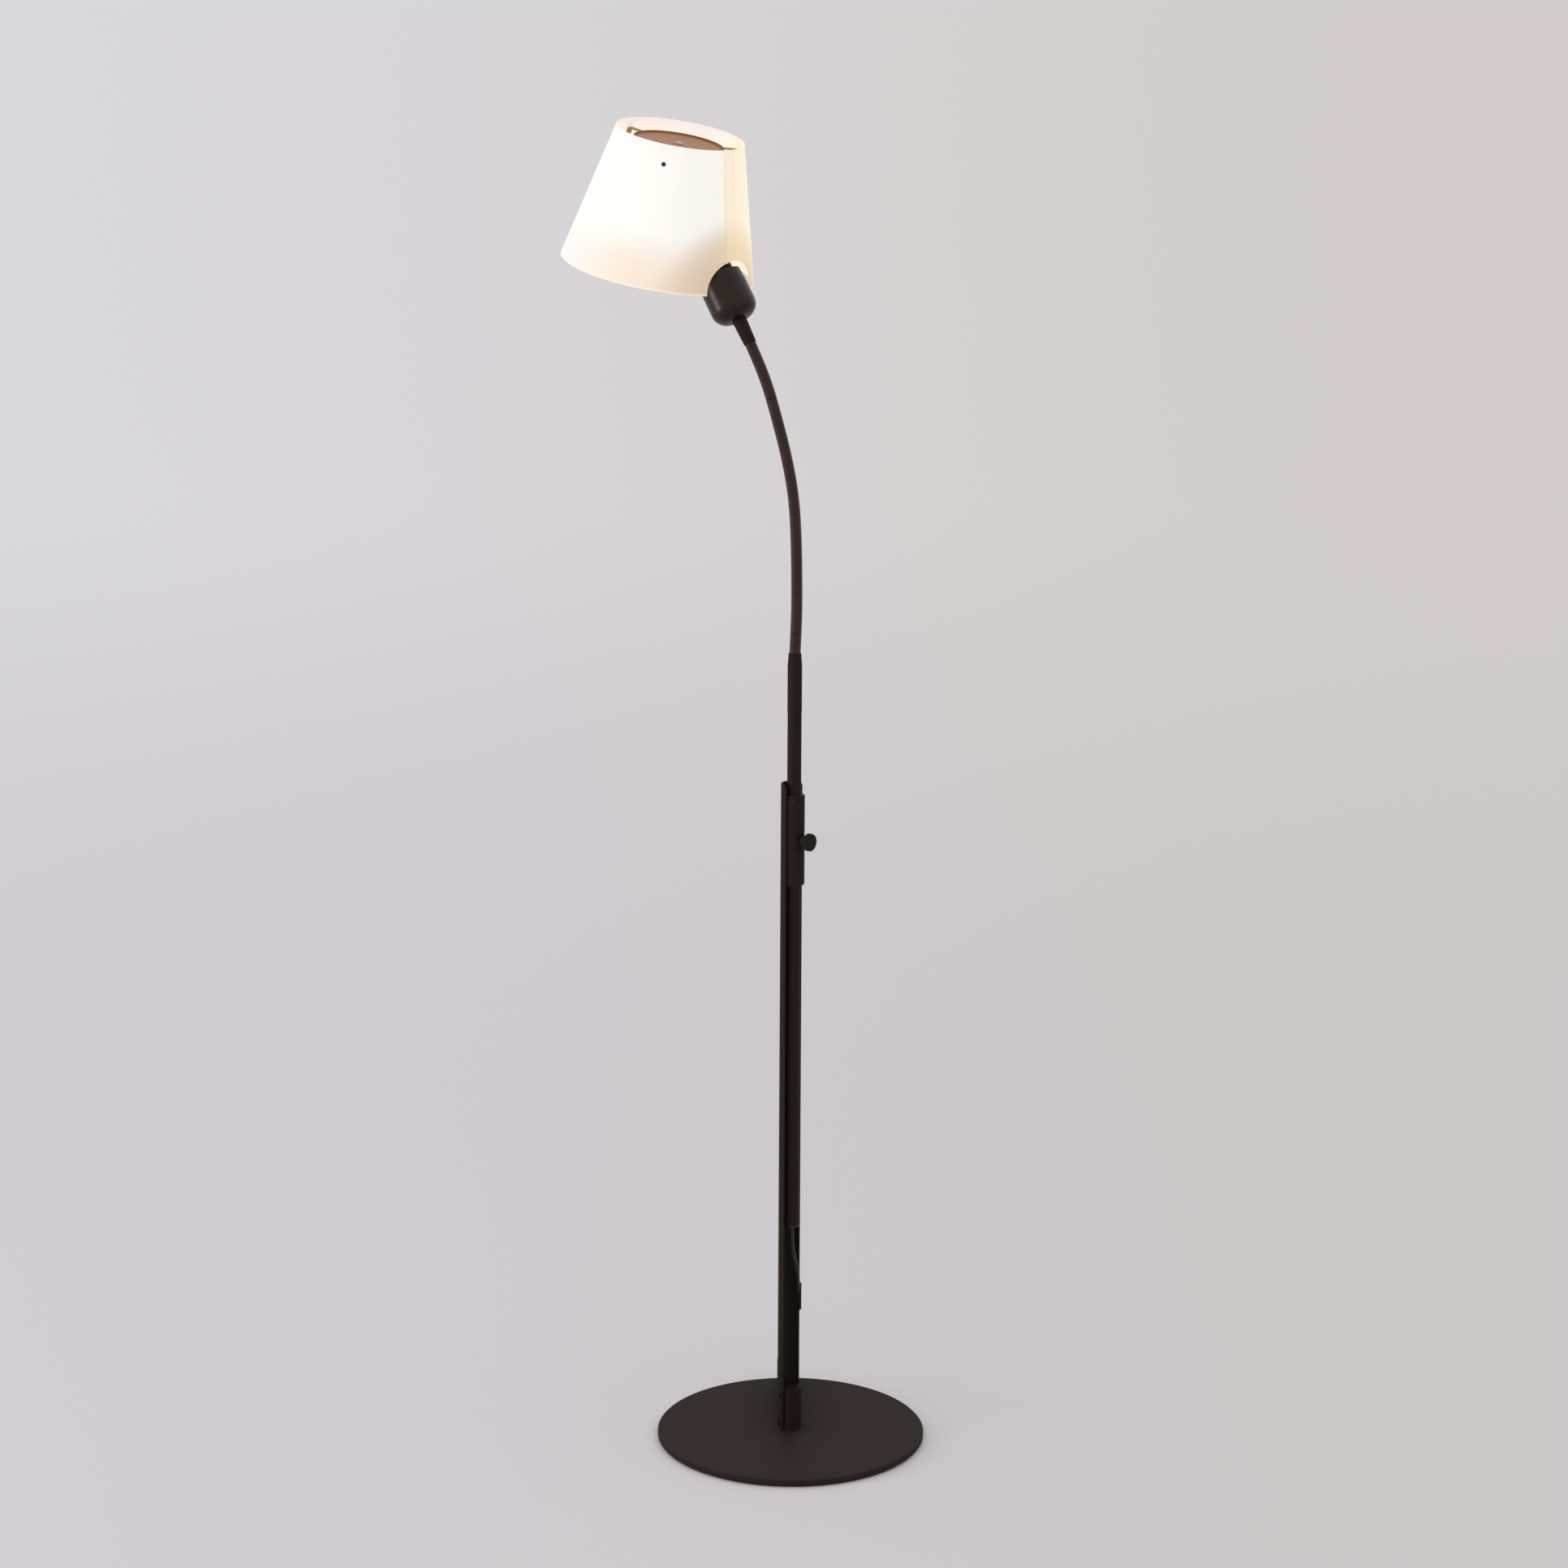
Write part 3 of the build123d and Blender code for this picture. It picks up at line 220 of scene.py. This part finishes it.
def blend_colours(tree, share, first, second):
    node = tree.nodes.new("ShaderNodeMix")
    node.data_type = "RGBA"
    feed(tree, node.inputs["Factor"], share)
    first_colour, second_colour = [socket for socket in node.inputs if socket.type == "RGBA"]
    feed(tree, first_colour, first)
    feed(tree, second_colour, second)
    return next(socket for socket in node.outputs if socket.type == "RGBA")


def place_in_piece(tree):
    return tree.nodes.new("ShaderNodeTexCoord").outputs["Object"]


def noise(tree, scale, detail=2.0, stretch=None):
    """Noise from 0 to 1 in the piece's own metres."""
    node = tree.nodes.new("ShaderNodeTexNoise")
    node.inputs["Scale"].default_value = scale
    node.inputs["Detail"].default_value = detail
    place = place_in_piece(tree)
    if stretch:
        place = vector_calc(tree, "MULTIPLY", place, stretch)
    tree.links.new(place, node.inputs["Vector"])
    return node.outputs["Fac"]


def bumped(tree, height, distance, strength):
    node = tree.nodes.new("ShaderNodeBump")
    node.inputs["Distance"].default_value = distance
    node.inputs["Strength"].default_value = strength
    tree.links.new(height, node.inputs["Height"])
    return node.outputs["Normal"]


def surface(tree, colour, roughness, **sockets):
    """Principled surface joined to the output."""
    shader = tree.nodes.new("ShaderNodeBsdfPrincipled")
    feed(tree, shader.inputs["Base Color"], colour)
    feed(tree, shader.inputs["Roughness"], roughness)
    for name, value in sockets.items():
        feed(tree, shader.inputs[name.replace("_", " ")], value)
    output = tree.nodes["Material Output"]
    tree.links.new(shader.outputs[0], output.inputs["Surface"])


def coated(name, dark, light, grain, grain_depth, roughness, specular=0.35, metallic=0.0):
    """Paint, lacquer, plastic or metal: two near colours in soft clouds, a fine grain and uneven gloss."""
    material, tree = new_material(name)
    clouds = noise(tree, 38.0, 3.0)
    fine = noise(tree, grain, 2.0)
    colour = blend_colours(tree, clouds, (*dark, 1), (*light, 1))
    rough = calc(tree, "MULTIPLY_ADD", fine, 0.16, roughness - 0.08)
    surface(tree, colour, rough, Metallic=metallic, Specular_IOR_Level=specular, Specular_Tint=WARM_GLOSS,
            Normal=bumped(tree, fine, grain_depth, 0.6))
    return material


def brushed(name, dark, light, roughness):
    """Metal with fine lines round it."""
    material, tree = new_material(name)
    lines = noise(tree, 900.0, 2.0, (0.15, 0.15, 4.0))
    colour = blend_colours(tree, lines, (*dark, 1), (*light, 1))
    surface(tree, colour, calc(tree, "MULTIPLY_ADD", lines, 0.14, roughness - 0.07), Metallic=1.0,
            Normal=bumped(tree, lines, 0.00003, 0.4))
    return material


def woven(name, dark, light, scale):
    """Cloth or felt: crossed threads under a soft fuzz."""
    material, tree = new_material(name)
    place = place_in_piece(tree)
    threads = []
    for direction in ("X", "Z"):
        wave = tree.nodes.new("ShaderNodeTexWave")
        wave.bands_direction = direction
        wave.inputs["Scale"].default_value = scale
        wave.inputs["Distortion"].default_value = 0.6
        tree.links.new(place, wave.inputs["Vector"])
        threads.append(wave.outputs["Fac"])
    weave = calc(tree, "MULTIPLY", *threads)
    height = calc(tree, "MULTIPLY_ADD", noise(tree, 2200.0), 0.7, weave)
    surface(tree, blend_colours(tree, weave, (*dark, 1), (*light, 1)), 0.9, Sheen_Weight=0.15,
            Specular_IOR_Level=0.2, Normal=bumped(tree, height, 0.00012, 0.7))
    return material


def shade_place(tree):
    """Height along the shade, place across it towards the neck, and distance from its middle plane."""
    from_foot = vector_calc(tree, "SUBTRACT", place_in_piece(tree), SHADE_FOOT)
    height = vector_calc(tree, "DOT_PRODUCT", from_foot, SHADE_AXIS)
    across = vector_calc(tree, "DOT_PRODUCT", from_foot, SHADE_ACROSS)
    side = vector_calc(tree, "DOT_PRODUCT", from_foot, Vector((0, 1, 0)))
    return height, across, side


def lit_ground(tree, height, across):
    """The sheet's painted glow, standing for the globe's light through it: bright near the globe, cream at
    the foot, and dark with the cup's painted shadow.
    """
    from_bulb = vector_calc(tree, "SUBTRACT", place_in_piece(tree), BULB)
    towards_cup = vector_calc(tree, "DOT_PRODUCT", vector_calc(tree, "NORMALIZE", from_bulb), -HEAD_AXIS)
    glow = ramp(tree, vector_calc(tree, "LENGTH", from_bulb), *GLOW_REACH)
    near = blend_colours(tree, glow, SHEET_FAR, SHEET_NEAR)
    foot = calc(tree, "MULTIPLY", ramp(tree, height, *FOOT_BAND), ramp(tree, across, *FOOT_ACROSS))
    # painted cream glow at the sheet's foot
    cream_glow = blend_colours(tree, foot, near, SHEET_CREAM_GLOW)
    shadow = calc(tree, "MULTIPLY", ramp(tree, towards_cup, *CUP_SHADOW), CUP_SHADOW_DEPTH)
    return blend_colours(tree, shadow, cream_glow, SHEET_SHADOW), glow


def with_seam(tree, ground, glow, across, side):
    """The glow with the lapped seam on the neck's side: its band, its two edges and a painted gold-tinted
    glow beside it.
    """
    aside = calc(tree, "ABSOLUTE", side)
    on_neck_side = ramp(tree, across, *SEAM_ACROSS)
    lap = calc(tree, "MULTIPLY", ramp(tree, aside, SEAM_HALF + LAP_SOFT, SEAM_HALF - LAP_SOFT), on_neck_side)
    edge = calc(tree, "ABSOLUTE", calc(tree, "SUBTRACT", aside, SEAM_HALF))
    line = calc(tree, "MULTIPLY", ramp(tree, edge, *SEAM_LINE), on_neck_side)
    # painted gold-tinted glow beside the seam, strongest where the sheet glows most
    beside = calc(tree, "MULTIPLY", ramp(tree, side, *LIT_GOLD_BESIDE), on_neck_side)
    lit_gold = calc(tree, "MULTIPLY", calc(tree, "MULTIPLY", beside, glow), LIT_GOLD_DEPTH)
    lit_golden = blend_colours(tree, lit_gold, ground, SHEET_LIT_GOLD)
    lapped = blend_colours(tree, calc(tree, "MULTIPLY", lap, LAP_DEPTH), lit_golden, SHEET_LAP)
    return blend_colours(tree, calc(tree, "MULTIPLY", line, SEAM_LINE_DEPTH), lapped, SHEET_LINE)


def lit_sheet():
    """The shade's sheet with the globe's light painted on it as a glow, its seam, and a painted paler glow
    along its lower rim.
    """
    material, tree = new_material("lit_sheet")
    height, across, side = shade_place(tree)
    ground, glow = lit_ground(tree, height, across)
    seamed = with_seam(tree, ground, glow, across, side)
    # painted paler glow along the lower rim
    rim = calc(tree, "MULTIPLY", ramp(tree, height, *RIM_BAND), RIM_DEPTH)
    light = vector_calc(tree, "SCALE", blend_colours(tree, rim, seamed, SHEET_RIM_GLOW))
    mottle = calc(tree, "MULTIPLY_ADD", noise(tree, 60.0, 3.0), 0.06, 0.97)
    tree.links.new(mottle, light.node.inputs["Scale"])
    grain = noise(tree, 1500.0)
    surface(tree, blend_colours(tree, grain, *SHEET_CLOTH), 0.55, Emission_Color=light, Emission_Strength=1.0,
            Specular_IOR_Level=0.25, Normal=bumped(tree, grain, 0.00002, 0.4))
    return material


def shaded_face_lit_lip_disc():
    """Disc with painted light and shade: a mauve-brown face, partly painted shade, and a golden lip, arms and
    tabs, partly a brass-like lacquer and partly a painted lit edge.
    """
    material, tree = new_material("shaded_face_lit_lip_disc")
    height, across, side = shade_place(tree)
    reach = calc(tree, "SQRT", calc(tree, "ADD", calc(tree, "MULTIPLY", across, across),
                                    calc(tree, "MULTIPLY", side, side)))
    # painted light and shade: the lip, arms and tabs lit golden, the face a shaded mauve-brown
    outer = ramp(tree, reach, *[DISC_R - inset for inset in DISC_LIP])
    clouds = noise(tree, 45.0, 3.0)
    shaded_face = blend_colours(tree, clouds, *DISC_SHADED_FACE)
    lit_gold = blend_colours(tree, clouds, *DISC_LIT_GOLD)
    fine = noise(tree, 1300.0)
    surface(tree, blend_colours(tree, outer, shaded_face, lit_gold), calc(tree, "MULTIPLY_ADD", fine, 0.2, 0.38),
            Metallic=0.25, Specular_Tint=WARM_GLOSS, Normal=bumped(tree, fine, 0.00002, 0.5))
    return material


def lit_glass():
    """Frosted globe of the lit bulb, a little dimmer at its neck."""
    material, tree = new_material("lit_glass")
    from_bulb = vector_calc(tree, "SUBTRACT", place_in_piece(tree), BULB)
    along = vector_calc(tree, "DOT_PRODUCT", from_bulb, HEAD_AXIS)
    light = blend_colours(tree, ramp(tree, along, *GLOBE_GLOW), GLOBE_DIM, GLOBE_BRIGHT)
    fine = noise(tree, 900.0)
    surface(tree, blend_colours(tree, fine, *GLOBE_GLASS), 0.5, Emission_Color=light,
            Emission_Strength=GLOBE_STRENGTH)
    return material


def floor_paint():
    """Seamless pale ground with painted light on it: lighter and cooler on the left, darker and warmer on the
    right, and darker near the lamp.
    """
    material, tree = new_material("floor_paint")
    aside = vector_calc(tree, "DOT_PRODUCT", place_in_piece(tree), VIEW_RIGHT)
    back = vector_calc(tree, "DOT_PRODUCT", place_in_piece(tree), VIEW_BACK)
    nearness = ramp(tree, vector_calc(tree, "LENGTH", place_in_piece(tree)), *NEAR_GROUND)
    away = calc(tree, "ADD", calc(tree, "ABSOLUTE", back), VIEW_DISTANCE)
    bearing = calc(tree, "DIVIDE", aside, away)
    # painted light: lighter and cooler on the left, darker and warmer on the right, darker near the lamp
    far = blend_colours(tree, ramp(tree, bearing, -FAR_SPREAD, FAR_SPREAD), FAR_LEFT, FAR_RIGHT)
    close = blend_colours(tree, ramp(tree, aside, -NEAR_SPREAD, NEAR_SPREAD), NEAR_LEFT, NEAR_RIGHT)
    rough = calc(tree, "MULTIPLY_ADD", noise(tree, 2.0, 3.0), 0.05, 0.9)
    surface(tree, blend_colours(tree, nearness, far, close), rough, Specular_IOR_Level=0.0)
    return material


def place_floor():
    corners = [(x * FLOOR_HALF, y * FLOOR_HALF, 0) for x, y in ((-1, -1), (1, -1), (1, 1), (-1, 1))]
    mesh = bpy.data.meshes.new("floor")
    mesh.from_pydata(corners, [], [(0, 1, 2, 3)])
    floor = bpy.data.objects.new("floor", mesh)
    floor.data.materials.append(floor_paint())
    bpy.context.scene.collection.objects.link(floor)


def background(tree, colour, strength):
    node = tree.nodes.new("ShaderNodeBackground")
    feed(tree, node.inputs["Color"], colour)
    node.inputs["Strength"].default_value = strength
    return node.outputs[0]


def light_all_round():
    """Even pale light, and a ground-coloured sky where the camera sees past the floor, with the same painted
    light: lighter and cooler on the left, darker and warmer on the right.
    """
    world = bpy.data.worlds.new("studio")
    bpy.context.scene.world = world
    world.use_nodes = True
    tree = world.node_tree
    tree.nodes.clear()
    ray = tree.nodes.new("ShaderNodeTexCoord").outputs["Generated"]
    aside = ramp(tree, vector_calc(tree, "DOT_PRODUCT", ray, VIEW_RIGHT), -SKY_SPREAD, SKY_SPREAD)
    mix = tree.nodes.new("ShaderNodeMixShader")
    tree.links.new(tree.nodes.new("ShaderNodeLightPath").outputs["Is Camera Ray"], mix.inputs[0])
    tree.links.new(background(tree, EVEN_LIGHT, EVEN_STRENGTH), mix.inputs[1])
    tree.links.new(background(tree, blend_colours(tree, aside, SKY_LEFT, SKY_RIGHT), 1.0), mix.inputs[2])
    tree.links.new(mix.outputs[0], tree.nodes.new("ShaderNodeOutputWorld").inputs["Surface"])


def place_key_light():
    """Soft round lamp on the left."""
    data = bpy.data.lights.new("soft_key", "AREA")
    data.shape = "DISK"
    data.size = KEY_SIZE
    data.energy = KEY_WATTS
    data.color = KEY_COLOUR
    key = bpy.data.objects.new("soft_key", data)
    place = VIEW_BACK * KEY_BACK - VIEW_RIGHT * KEY_LEFT + Vector((0, 0, KEY_HEIGHT))
    aim = Vector((0, 0, KEY_AIM)) - place
    key.matrix_world = Matrix.Translation(place) @ aim.to_track_quat("-Z", "Y").to_matrix().to_4x4()
    bpy.context.scene.collection.objects.link(key)


# ---- cords: in millimetres, as in the solids
CORD_BEARING = math.radians(39.0)
CORD_SIDE = Vector((math.cos(CORD_BEARING), math.sin(CORD_BEARING), 0))
CORD_AWAY = Vector((-CORD_SIDE.y, CORD_SIDE.x, 0))
COLUMN_R = 15.0
COLUMN_WALL = 2.5
NOTCH_BEARING = math.radians(98.0)
NOTCH_Z = 153.0
EXIT_SLOPE = math.radians(25.0)
EXIT_HEADING = math.radians(135.0)
BASE_TOP = 8.0
ROD_LOW = 236.0
CORD_FIRST_RUN = 22.0
CORD_DROP = ((24.6, 6.0, 92.0), (23.7, 5.7, 58.0))
LAST_BEND = (
    (61.5, -12.0, 3.0), (59.0, -11.5, 20.0), (46.0, -9.0, 31.5), (26.0, -5.0, 27.5), (8.0, -3.1, 20.9),
)
CORD_END = (-7.5, -3.1, 25.6)
HANK_NEAR = 23.5
HANK_RUN = 37.5
HANK_FOLD_R = 15.0
HANK_WAIST = 4.2
HANK_STEP = 5.8
HANK_SIDE = 5.6
HANK_END_CORNERS = 5
HANK_FIRST = 3
HANK_REVERSALS = (24, 42, 60)
HANK_LAST = 68
SEAT_GAP = 0.3
CORD_R = 2.5
CABLE_DROP = 26.0              # straight stretch under the tube's end
CABLE_LEAD = 31.0              # straight stretch before the notch
ROUND_SIDES = 20


def exit_line():
    """Middle and direction of the cable in the notch, in millimetres."""
    reach = COLUMN_R - COLUMN_WALL / 2
    middle = Vector((reach * math.cos(NOTCH_BEARING), reach * math.sin(NOTCH_BEARING), NOTCH_Z))
    flat = Vector((math.cos(EXIT_HEADING), math.sin(EXIT_HEADING), 0))
    return middle, flat * math.sin(EXIT_SLOPE) + Vector((0, 0, -math.cos(EXIT_SLOPE)))


def cord_exit():
    middle, out = exit_line()
    return middle + out * (COLUMN_WALL / math.sin(EXIT_SLOPE))


def behind(away, side, height):
    return CORD_AWAY * away + CORD_SIDE * side + Vector((0, 0, height))


def loop_growth(corner):
    """How far out a corner of the hank lies: the spiral goes in, out, in and out again."""
    inner, outer, again = HANK_REVERSALS
    nearest = inner if corner < outer else again
    return HANK_STEP * abs(nearest - corner) / (2 * HANK_END_CORNERS + 2)


def waist_slant():
    reach = math.hypot(HANK_RUN, HANK_WAIST)
    return math.asin(HANK_FOLD_R / reach) - math.atan(HANK_WAIST / HANK_RUN)


def fold_turn():
    return (math.pi + 2 * waist_slant()) / HANK_END_CORNERS


def in_hank(along, side, up):
    """Point by its place along the hank, to its side and up, from the hank's middle."""
    reach = (HANK_FOLD_R + loop_growth(HANK_FIRST)) / math.cos(fold_turn() / 2)
    away = HANK_NEAR + HANK_RUN + reach
    height = BASE_TOP + SEAT_GAP + CORD_R + HANK_FOLD_R + loop_growth(HANK_END_CORNERS)
    return behind(away + along, side, height + up)


def hank_corner(corner):
    """One corner of the loops: 0 is the waist's top, then the near fold, its foot, and the far fold."""
    place = corner % (2 * HANK_END_CORNERS + 2)
    growth = loop_growth(corner)
    side = HANK_SIDE - HANK_STEP * sum(1 for reversal in HANK_REVERSALS if corner > reversal)
    if place % (HANK_END_CORNERS + 1) == 0:
        up = HANK_WAIST + growth
        return in_hank(0, side, up if place == 0 else -up)
    near = place <= HANK_END_CORNERS
    step = place - 1 if near else place - HANK_END_CORNERS - 2
    start = math.pi / 2 - waist_slant() if near else -math.pi / 2 - waist_slant()
    angle = start + fold_turn() * (step + 0.5)
    reach = (HANK_FOLD_R + growth) / math.cos(fold_turn() / 2)
    fold = -HANK_RUN if near else HANK_RUN
    return in_hank(fold + reach * math.cos(angle), side, reach * math.sin(angle))


def cord_route():
    """The cord's points, down behind the column and round the hank's loops to the plug, in metres."""
    start = cord_exit()
    drop = [start, start + exit_line()[1] * CORD_FIRST_RUN] + [behind(*place) for place in CORD_DROP]
    loops = [hank_corner(corner) for corner in range(HANK_FIRST, HANK_LAST + 1)]
    tail = [in_hank(*place) for place in LAST_BEND + (CORD_END,)]
    return [point * MM for point in drop + loops + tail]


def smooth_curve(name, points, radius):
    """One smooth spline that the points steer."""
    data = bpy.data.curves.new(name, "CURVE")
    data.dimensions = "3D"
    spline = data.splines.new("NURBS")
    spline.points.add(len(points) - 1)
    for target, point in zip(spline.points, points):
        target.co = (*point, 1.0)
    spline.order_u = 3
    spline.use_endpoint_u = True
    data.resolution_u = 10
    data.bevel_depth = radius
    data.bevel_resolution = 3
    data.use_fill_caps = True
    piece = bpy.data.objects.new(name, data)
    bpy.context.scene.collection.objects.link(piece)
    return piece


def lay_power_cord(rubber):
    cord = smooth_curve("wound_power_cord", cord_route(), CORD_R * MM)
    cord.data.materials.append(rubber)
    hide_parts("power_cord", "cord_hank")
    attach(cord, "stand")


def route_points(curve):
    """Points along a curve's own line."""
    depth = curve.data.bevel_depth
    curve.data.bevel_depth = 0.0
    bpy.context.view_layer.update()
    graph = bpy.context.evaluated_depsgraph_get()
    mesh = bpy.data.meshes.new_from_object(curve.evaluated_get(graph))
    points = [vertex.co.copy() for vertex in mesh.vertices]
    bpy.data.meshes.remove(mesh)
    curve.data.bevel_depth = depth
    return points


def ring_tube(name, stations, sides):
    """Mesh tube through rings at (middle, direction, radius) stations, closed at both ends."""
    points = []
    for middle, direction, radius in stations:
        along = direction.normalized()
        first = Vector((along.z, 0, -along.x)).normalized()
        second = along.cross(first)
        for i in range(sides):
            angle = 2 * math.pi * i / sides
            points.append(middle + (first * math.cos(angle) + second * math.sin(angle)) * radius)
    faces = []
    for k in range(len(stations) - 1):
        for i in range(sides):
            j = (i + 1) % sides
            faces.append((k * sides + i, k * sides + j, (k + 1) * sides + j, (k + 1) * sides + i))
    faces.append(tuple(reversed(range(sides))))
    last = (len(stations) - 1) * sides
    faces.append(tuple(range(last, last + sides)))
    mesh = bpy.data.meshes.new(name)
    mesh.from_pydata(points, [], faces)
    mesh.polygons.foreach_set("use_smooth", [True] * (len(faces) - 2) + [False, False])
    mesh.update()
    piece = bpy.data.objects.new(name, mesh)
    bpy.context.scene.collection.objects.link(piece)
    return piece


def hang_column_cable(rubber):
    """The cable between the tube's lower end and the notch, as it hangs at rest. The real cable lengthens as
    the tube rises; this mesh stays as built.
    """
    middle, out = exit_line()
    below = Vector((0, 0, ROD_LOW - CABLE_DROP))
    corners = [Vector((0, 0, ROD_LOW)), below, middle - out * CABLE_LEAD, cord_exit()]
    guide = smooth_curve("column_cable_route", [corner * MM for corner in reversed(corners)], CORD_R * MM)
    path = route_points(guide)
    bpy.data.objects.remove(guide)
    ends = [path[0]] + path + [path[-1]]
    stations = [(point, ends[i + 2] - ends[i], CORD_R * MM) for i, point in enumerate(path)]
    cable = ring_tube("column_cable", stations, ROUND_SIDES)
    cable.data.materials.append(rubber)
    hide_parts("hanging_cable")
    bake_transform(cable)


# ---- gooseneck
LINKS = range(1, len(NECK_LENGTHS) + 1)
RIB_SAMPLES = 7                # rings of one rib
NECK_SIDES = 28
NECK_TUCK = Vector((0, 0, 0.002))   # the skin's start below the lower ferrule's top


def rib_radius(phase):
    """Radius over one rib: a round crest between narrow grooves."""
    return NECK_CREST - NECK_GROOVE * (1 - math.sqrt(max(0.0, math.sin(math.pi * phase))))


def bow(a, corner, b, share):
    """Point and direction on the smooth bow from a to b that the corner steers."""
    point = a * (1 - share) ** 2 + corner * 2 * share * (1 - share) + b * share ** 2
    return point, (corner - a) * (1 - share) + (b - corner) * share


def neck_skin(joint, steel):
    """Ribbed stretch over one of the neck's hinges, from the middle of one link to the middle of the next."""
    low = (NECK[joint - 1] + NECK[joint]) / 2
    high = (NECK[joint] + NECK[joint + 1]) / 2
    steps = RIB_SAMPLES * round(((NECK[joint] - low).length + (high - NECK[joint]).length) / NECK_PITCH)
    stations = []
    for i in range(steps + 1):
        point, direction = bow(low, NECK[joint], high, i / steps)
        stations.append((point, direction, rib_radius((i % RIB_SAMPLES) / RIB_SAMPLES)))
    skin = ring_tube(f"neck_skin_{joint}", stations, NECK_SIDES)
    skin.data.materials.append(steel)
    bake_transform(skin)
    return skin


def neck_end(name, a, b, body, steel):
    """Straight ribbed stretch from a ferrule to the middle of the first or last link."""
    steps = RIB_SAMPLES * round((b - a).length / NECK_PITCH)
    stations = [(a.lerp(b, i / steps), b - a, rib_radius((i % RIB_SAMPLES) / RIB_SAMPLES))
                for i in range(steps + 1)]
    skin = ring_tube(name, stations, NECK_SIDES)
    skin.data.materials.append(steel)
    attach(skin, body)
    return skin


def dress_neck(steel):
    """Skins over the neck: one at each end and one over each hinge. They stand for the links."""
    last = LINKS[-1]
    skins = [neck_end("neck_skin_0", NECK[0] - NECK_TUCK, (NECK[0] + NECK[1]) / 2, "rod", steel)]
    skins += [neck_skin(joint, steel) for joint in LINKS[:-1]]
    skins.append(neck_end(f"neck_skin_{last}", (NECK[last - 1] + NECK[last]) / 2, NECK[last], "head", steel))
    for number in LINKS:
        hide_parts(f"neck_link_{number}")


# ---- finish of the nodes
def paint(material, *names):
    for name in names:
        slots = NODES[name].data.materials
        slots.clear()
        slots.append(material)
        NODES[name].data.polygons.foreach_set("material_index", [0] * len(NODES[name].data.polygons))


def finish_paint():
    """Painted and enamelled pieces."""
    base = coated("powder_coat", (0.0210, 0.0150, 0.0138), (0.0260, 0.0190, 0.0176), 1400.0, 0.00012, 0.66,
                  specular=0.05)
    paint(base, "base_plate")
    column = coated("column_coat", (0.0138, 0.0094, 0.0072), (0.0175, 0.0122, 0.0096), 1600.0, 0.00008, 0.6,
                    specular=0.08)
    paint(column, "column_channel", "inner_rod", "lower_ferrule", "upper_ferrule", "clamp_knob", "foot_stub",
          "guide_sleeve", "cord_grommet")
    satin = coated("satin_enamel", (0.0078, 0.0040, 0.0034), (0.0104, 0.0058, 0.0050), 900.0, 0.00002, 0.34,
                   specular=0.30)
    paint(satin, "head_cup")


def finish_metal():
    """Bare metal. Gives back the neck's steel."""
    neck = coated("neck_steel", (0.024, 0.0150, 0.0130), (0.038, 0.0260, 0.0230), 1500.0, 0.00003, 0.34,
                  specular=0.3, metallic=0.3)
    paint(neck, *[f"neck_link_{number}" for number in LINKS])
    dark = brushed("dark_screw_steel", (0.03, 0.026, 0.024), (0.06, 0.052, 0.048), 0.38)
    paint(dark, "stub_screws", "sleeve_screws", "bush_screws", "base_bolt", "shade_pins")
    bright = brushed("bright_steel", (0.42, 0.40, 0.37), (0.55, 0.53, 0.49), 0.3)
    paint(bright, "clamp_spindle", "shade_harp", "pivot_screw", "bulb_cap", "pivot_block")
    brass = brushed("brass_lacquer", (0.45, 0.31, 0.10), (0.60, 0.43, 0.16), 0.32)
    paint(brass, "cup_nipple", "cup_nut", "holder_contacts", "plug_blades")
    return neck


def finish_soft():
    """Rubber, plastic, felt and strap. Gives back the cords' rubber."""
    rubber = coated("black_rubber", (0.0110, 0.0095, 0.0090), (0.0170, 0.0150, 0.0140), 800.0, 0.00003, 0.55)
    paint(rubber, "inner_cable", "head_cable", "power_cord", "cord_hank", "hanging_cable",
          *[f"neck_cable_{number}" for number in LINKS])
    plastic = coated("black_plastic", (0.0130, 0.0110, 0.0100), (0.0190, 0.0165, 0.0155), 700.0, 0.00004,
                     0.45)
    paint(plastic, "tube_end_plug", "lamp_holder", "holder_ring", "plug_body", "guide_bushes")
    nylon = coated("white_nylon", (0.60, 0.58, 0.54), (0.68, 0.66, 0.62), 600.0, 0.00003, 0.5)
    paint(nylon, "brake_pad")
    paint(woven("felt", (0.012, 0.011, 0.011), (0.024, 0.022, 0.022), 900.0), "base_felt")
    paint(woven("strap_weave", (0.010, 0.009, 0.009), (0.030, 0.028, 0.027), 500.0), "cord_tie")
    return rubber


def finish_light():
    """The pieces that the lamp lights from inside."""
    paint(lit_sheet(), "shade_shell")
    paint(shaded_face_lit_lip_disc(), "heat_disc")
    paint(lit_glass(), "bulb_glass")


bpy.context.scene.view_settings.view_transform = "Standard"
place_camera()
place_floor()
light_all_round()
place_key_light()
finish_paint()
neck_steel = finish_metal()
cord_rubber = finish_soft()
finish_light()
lay_power_cord(cord_rubber)
hang_column_cable(cord_rubber)
dress_neck(neck_steel)
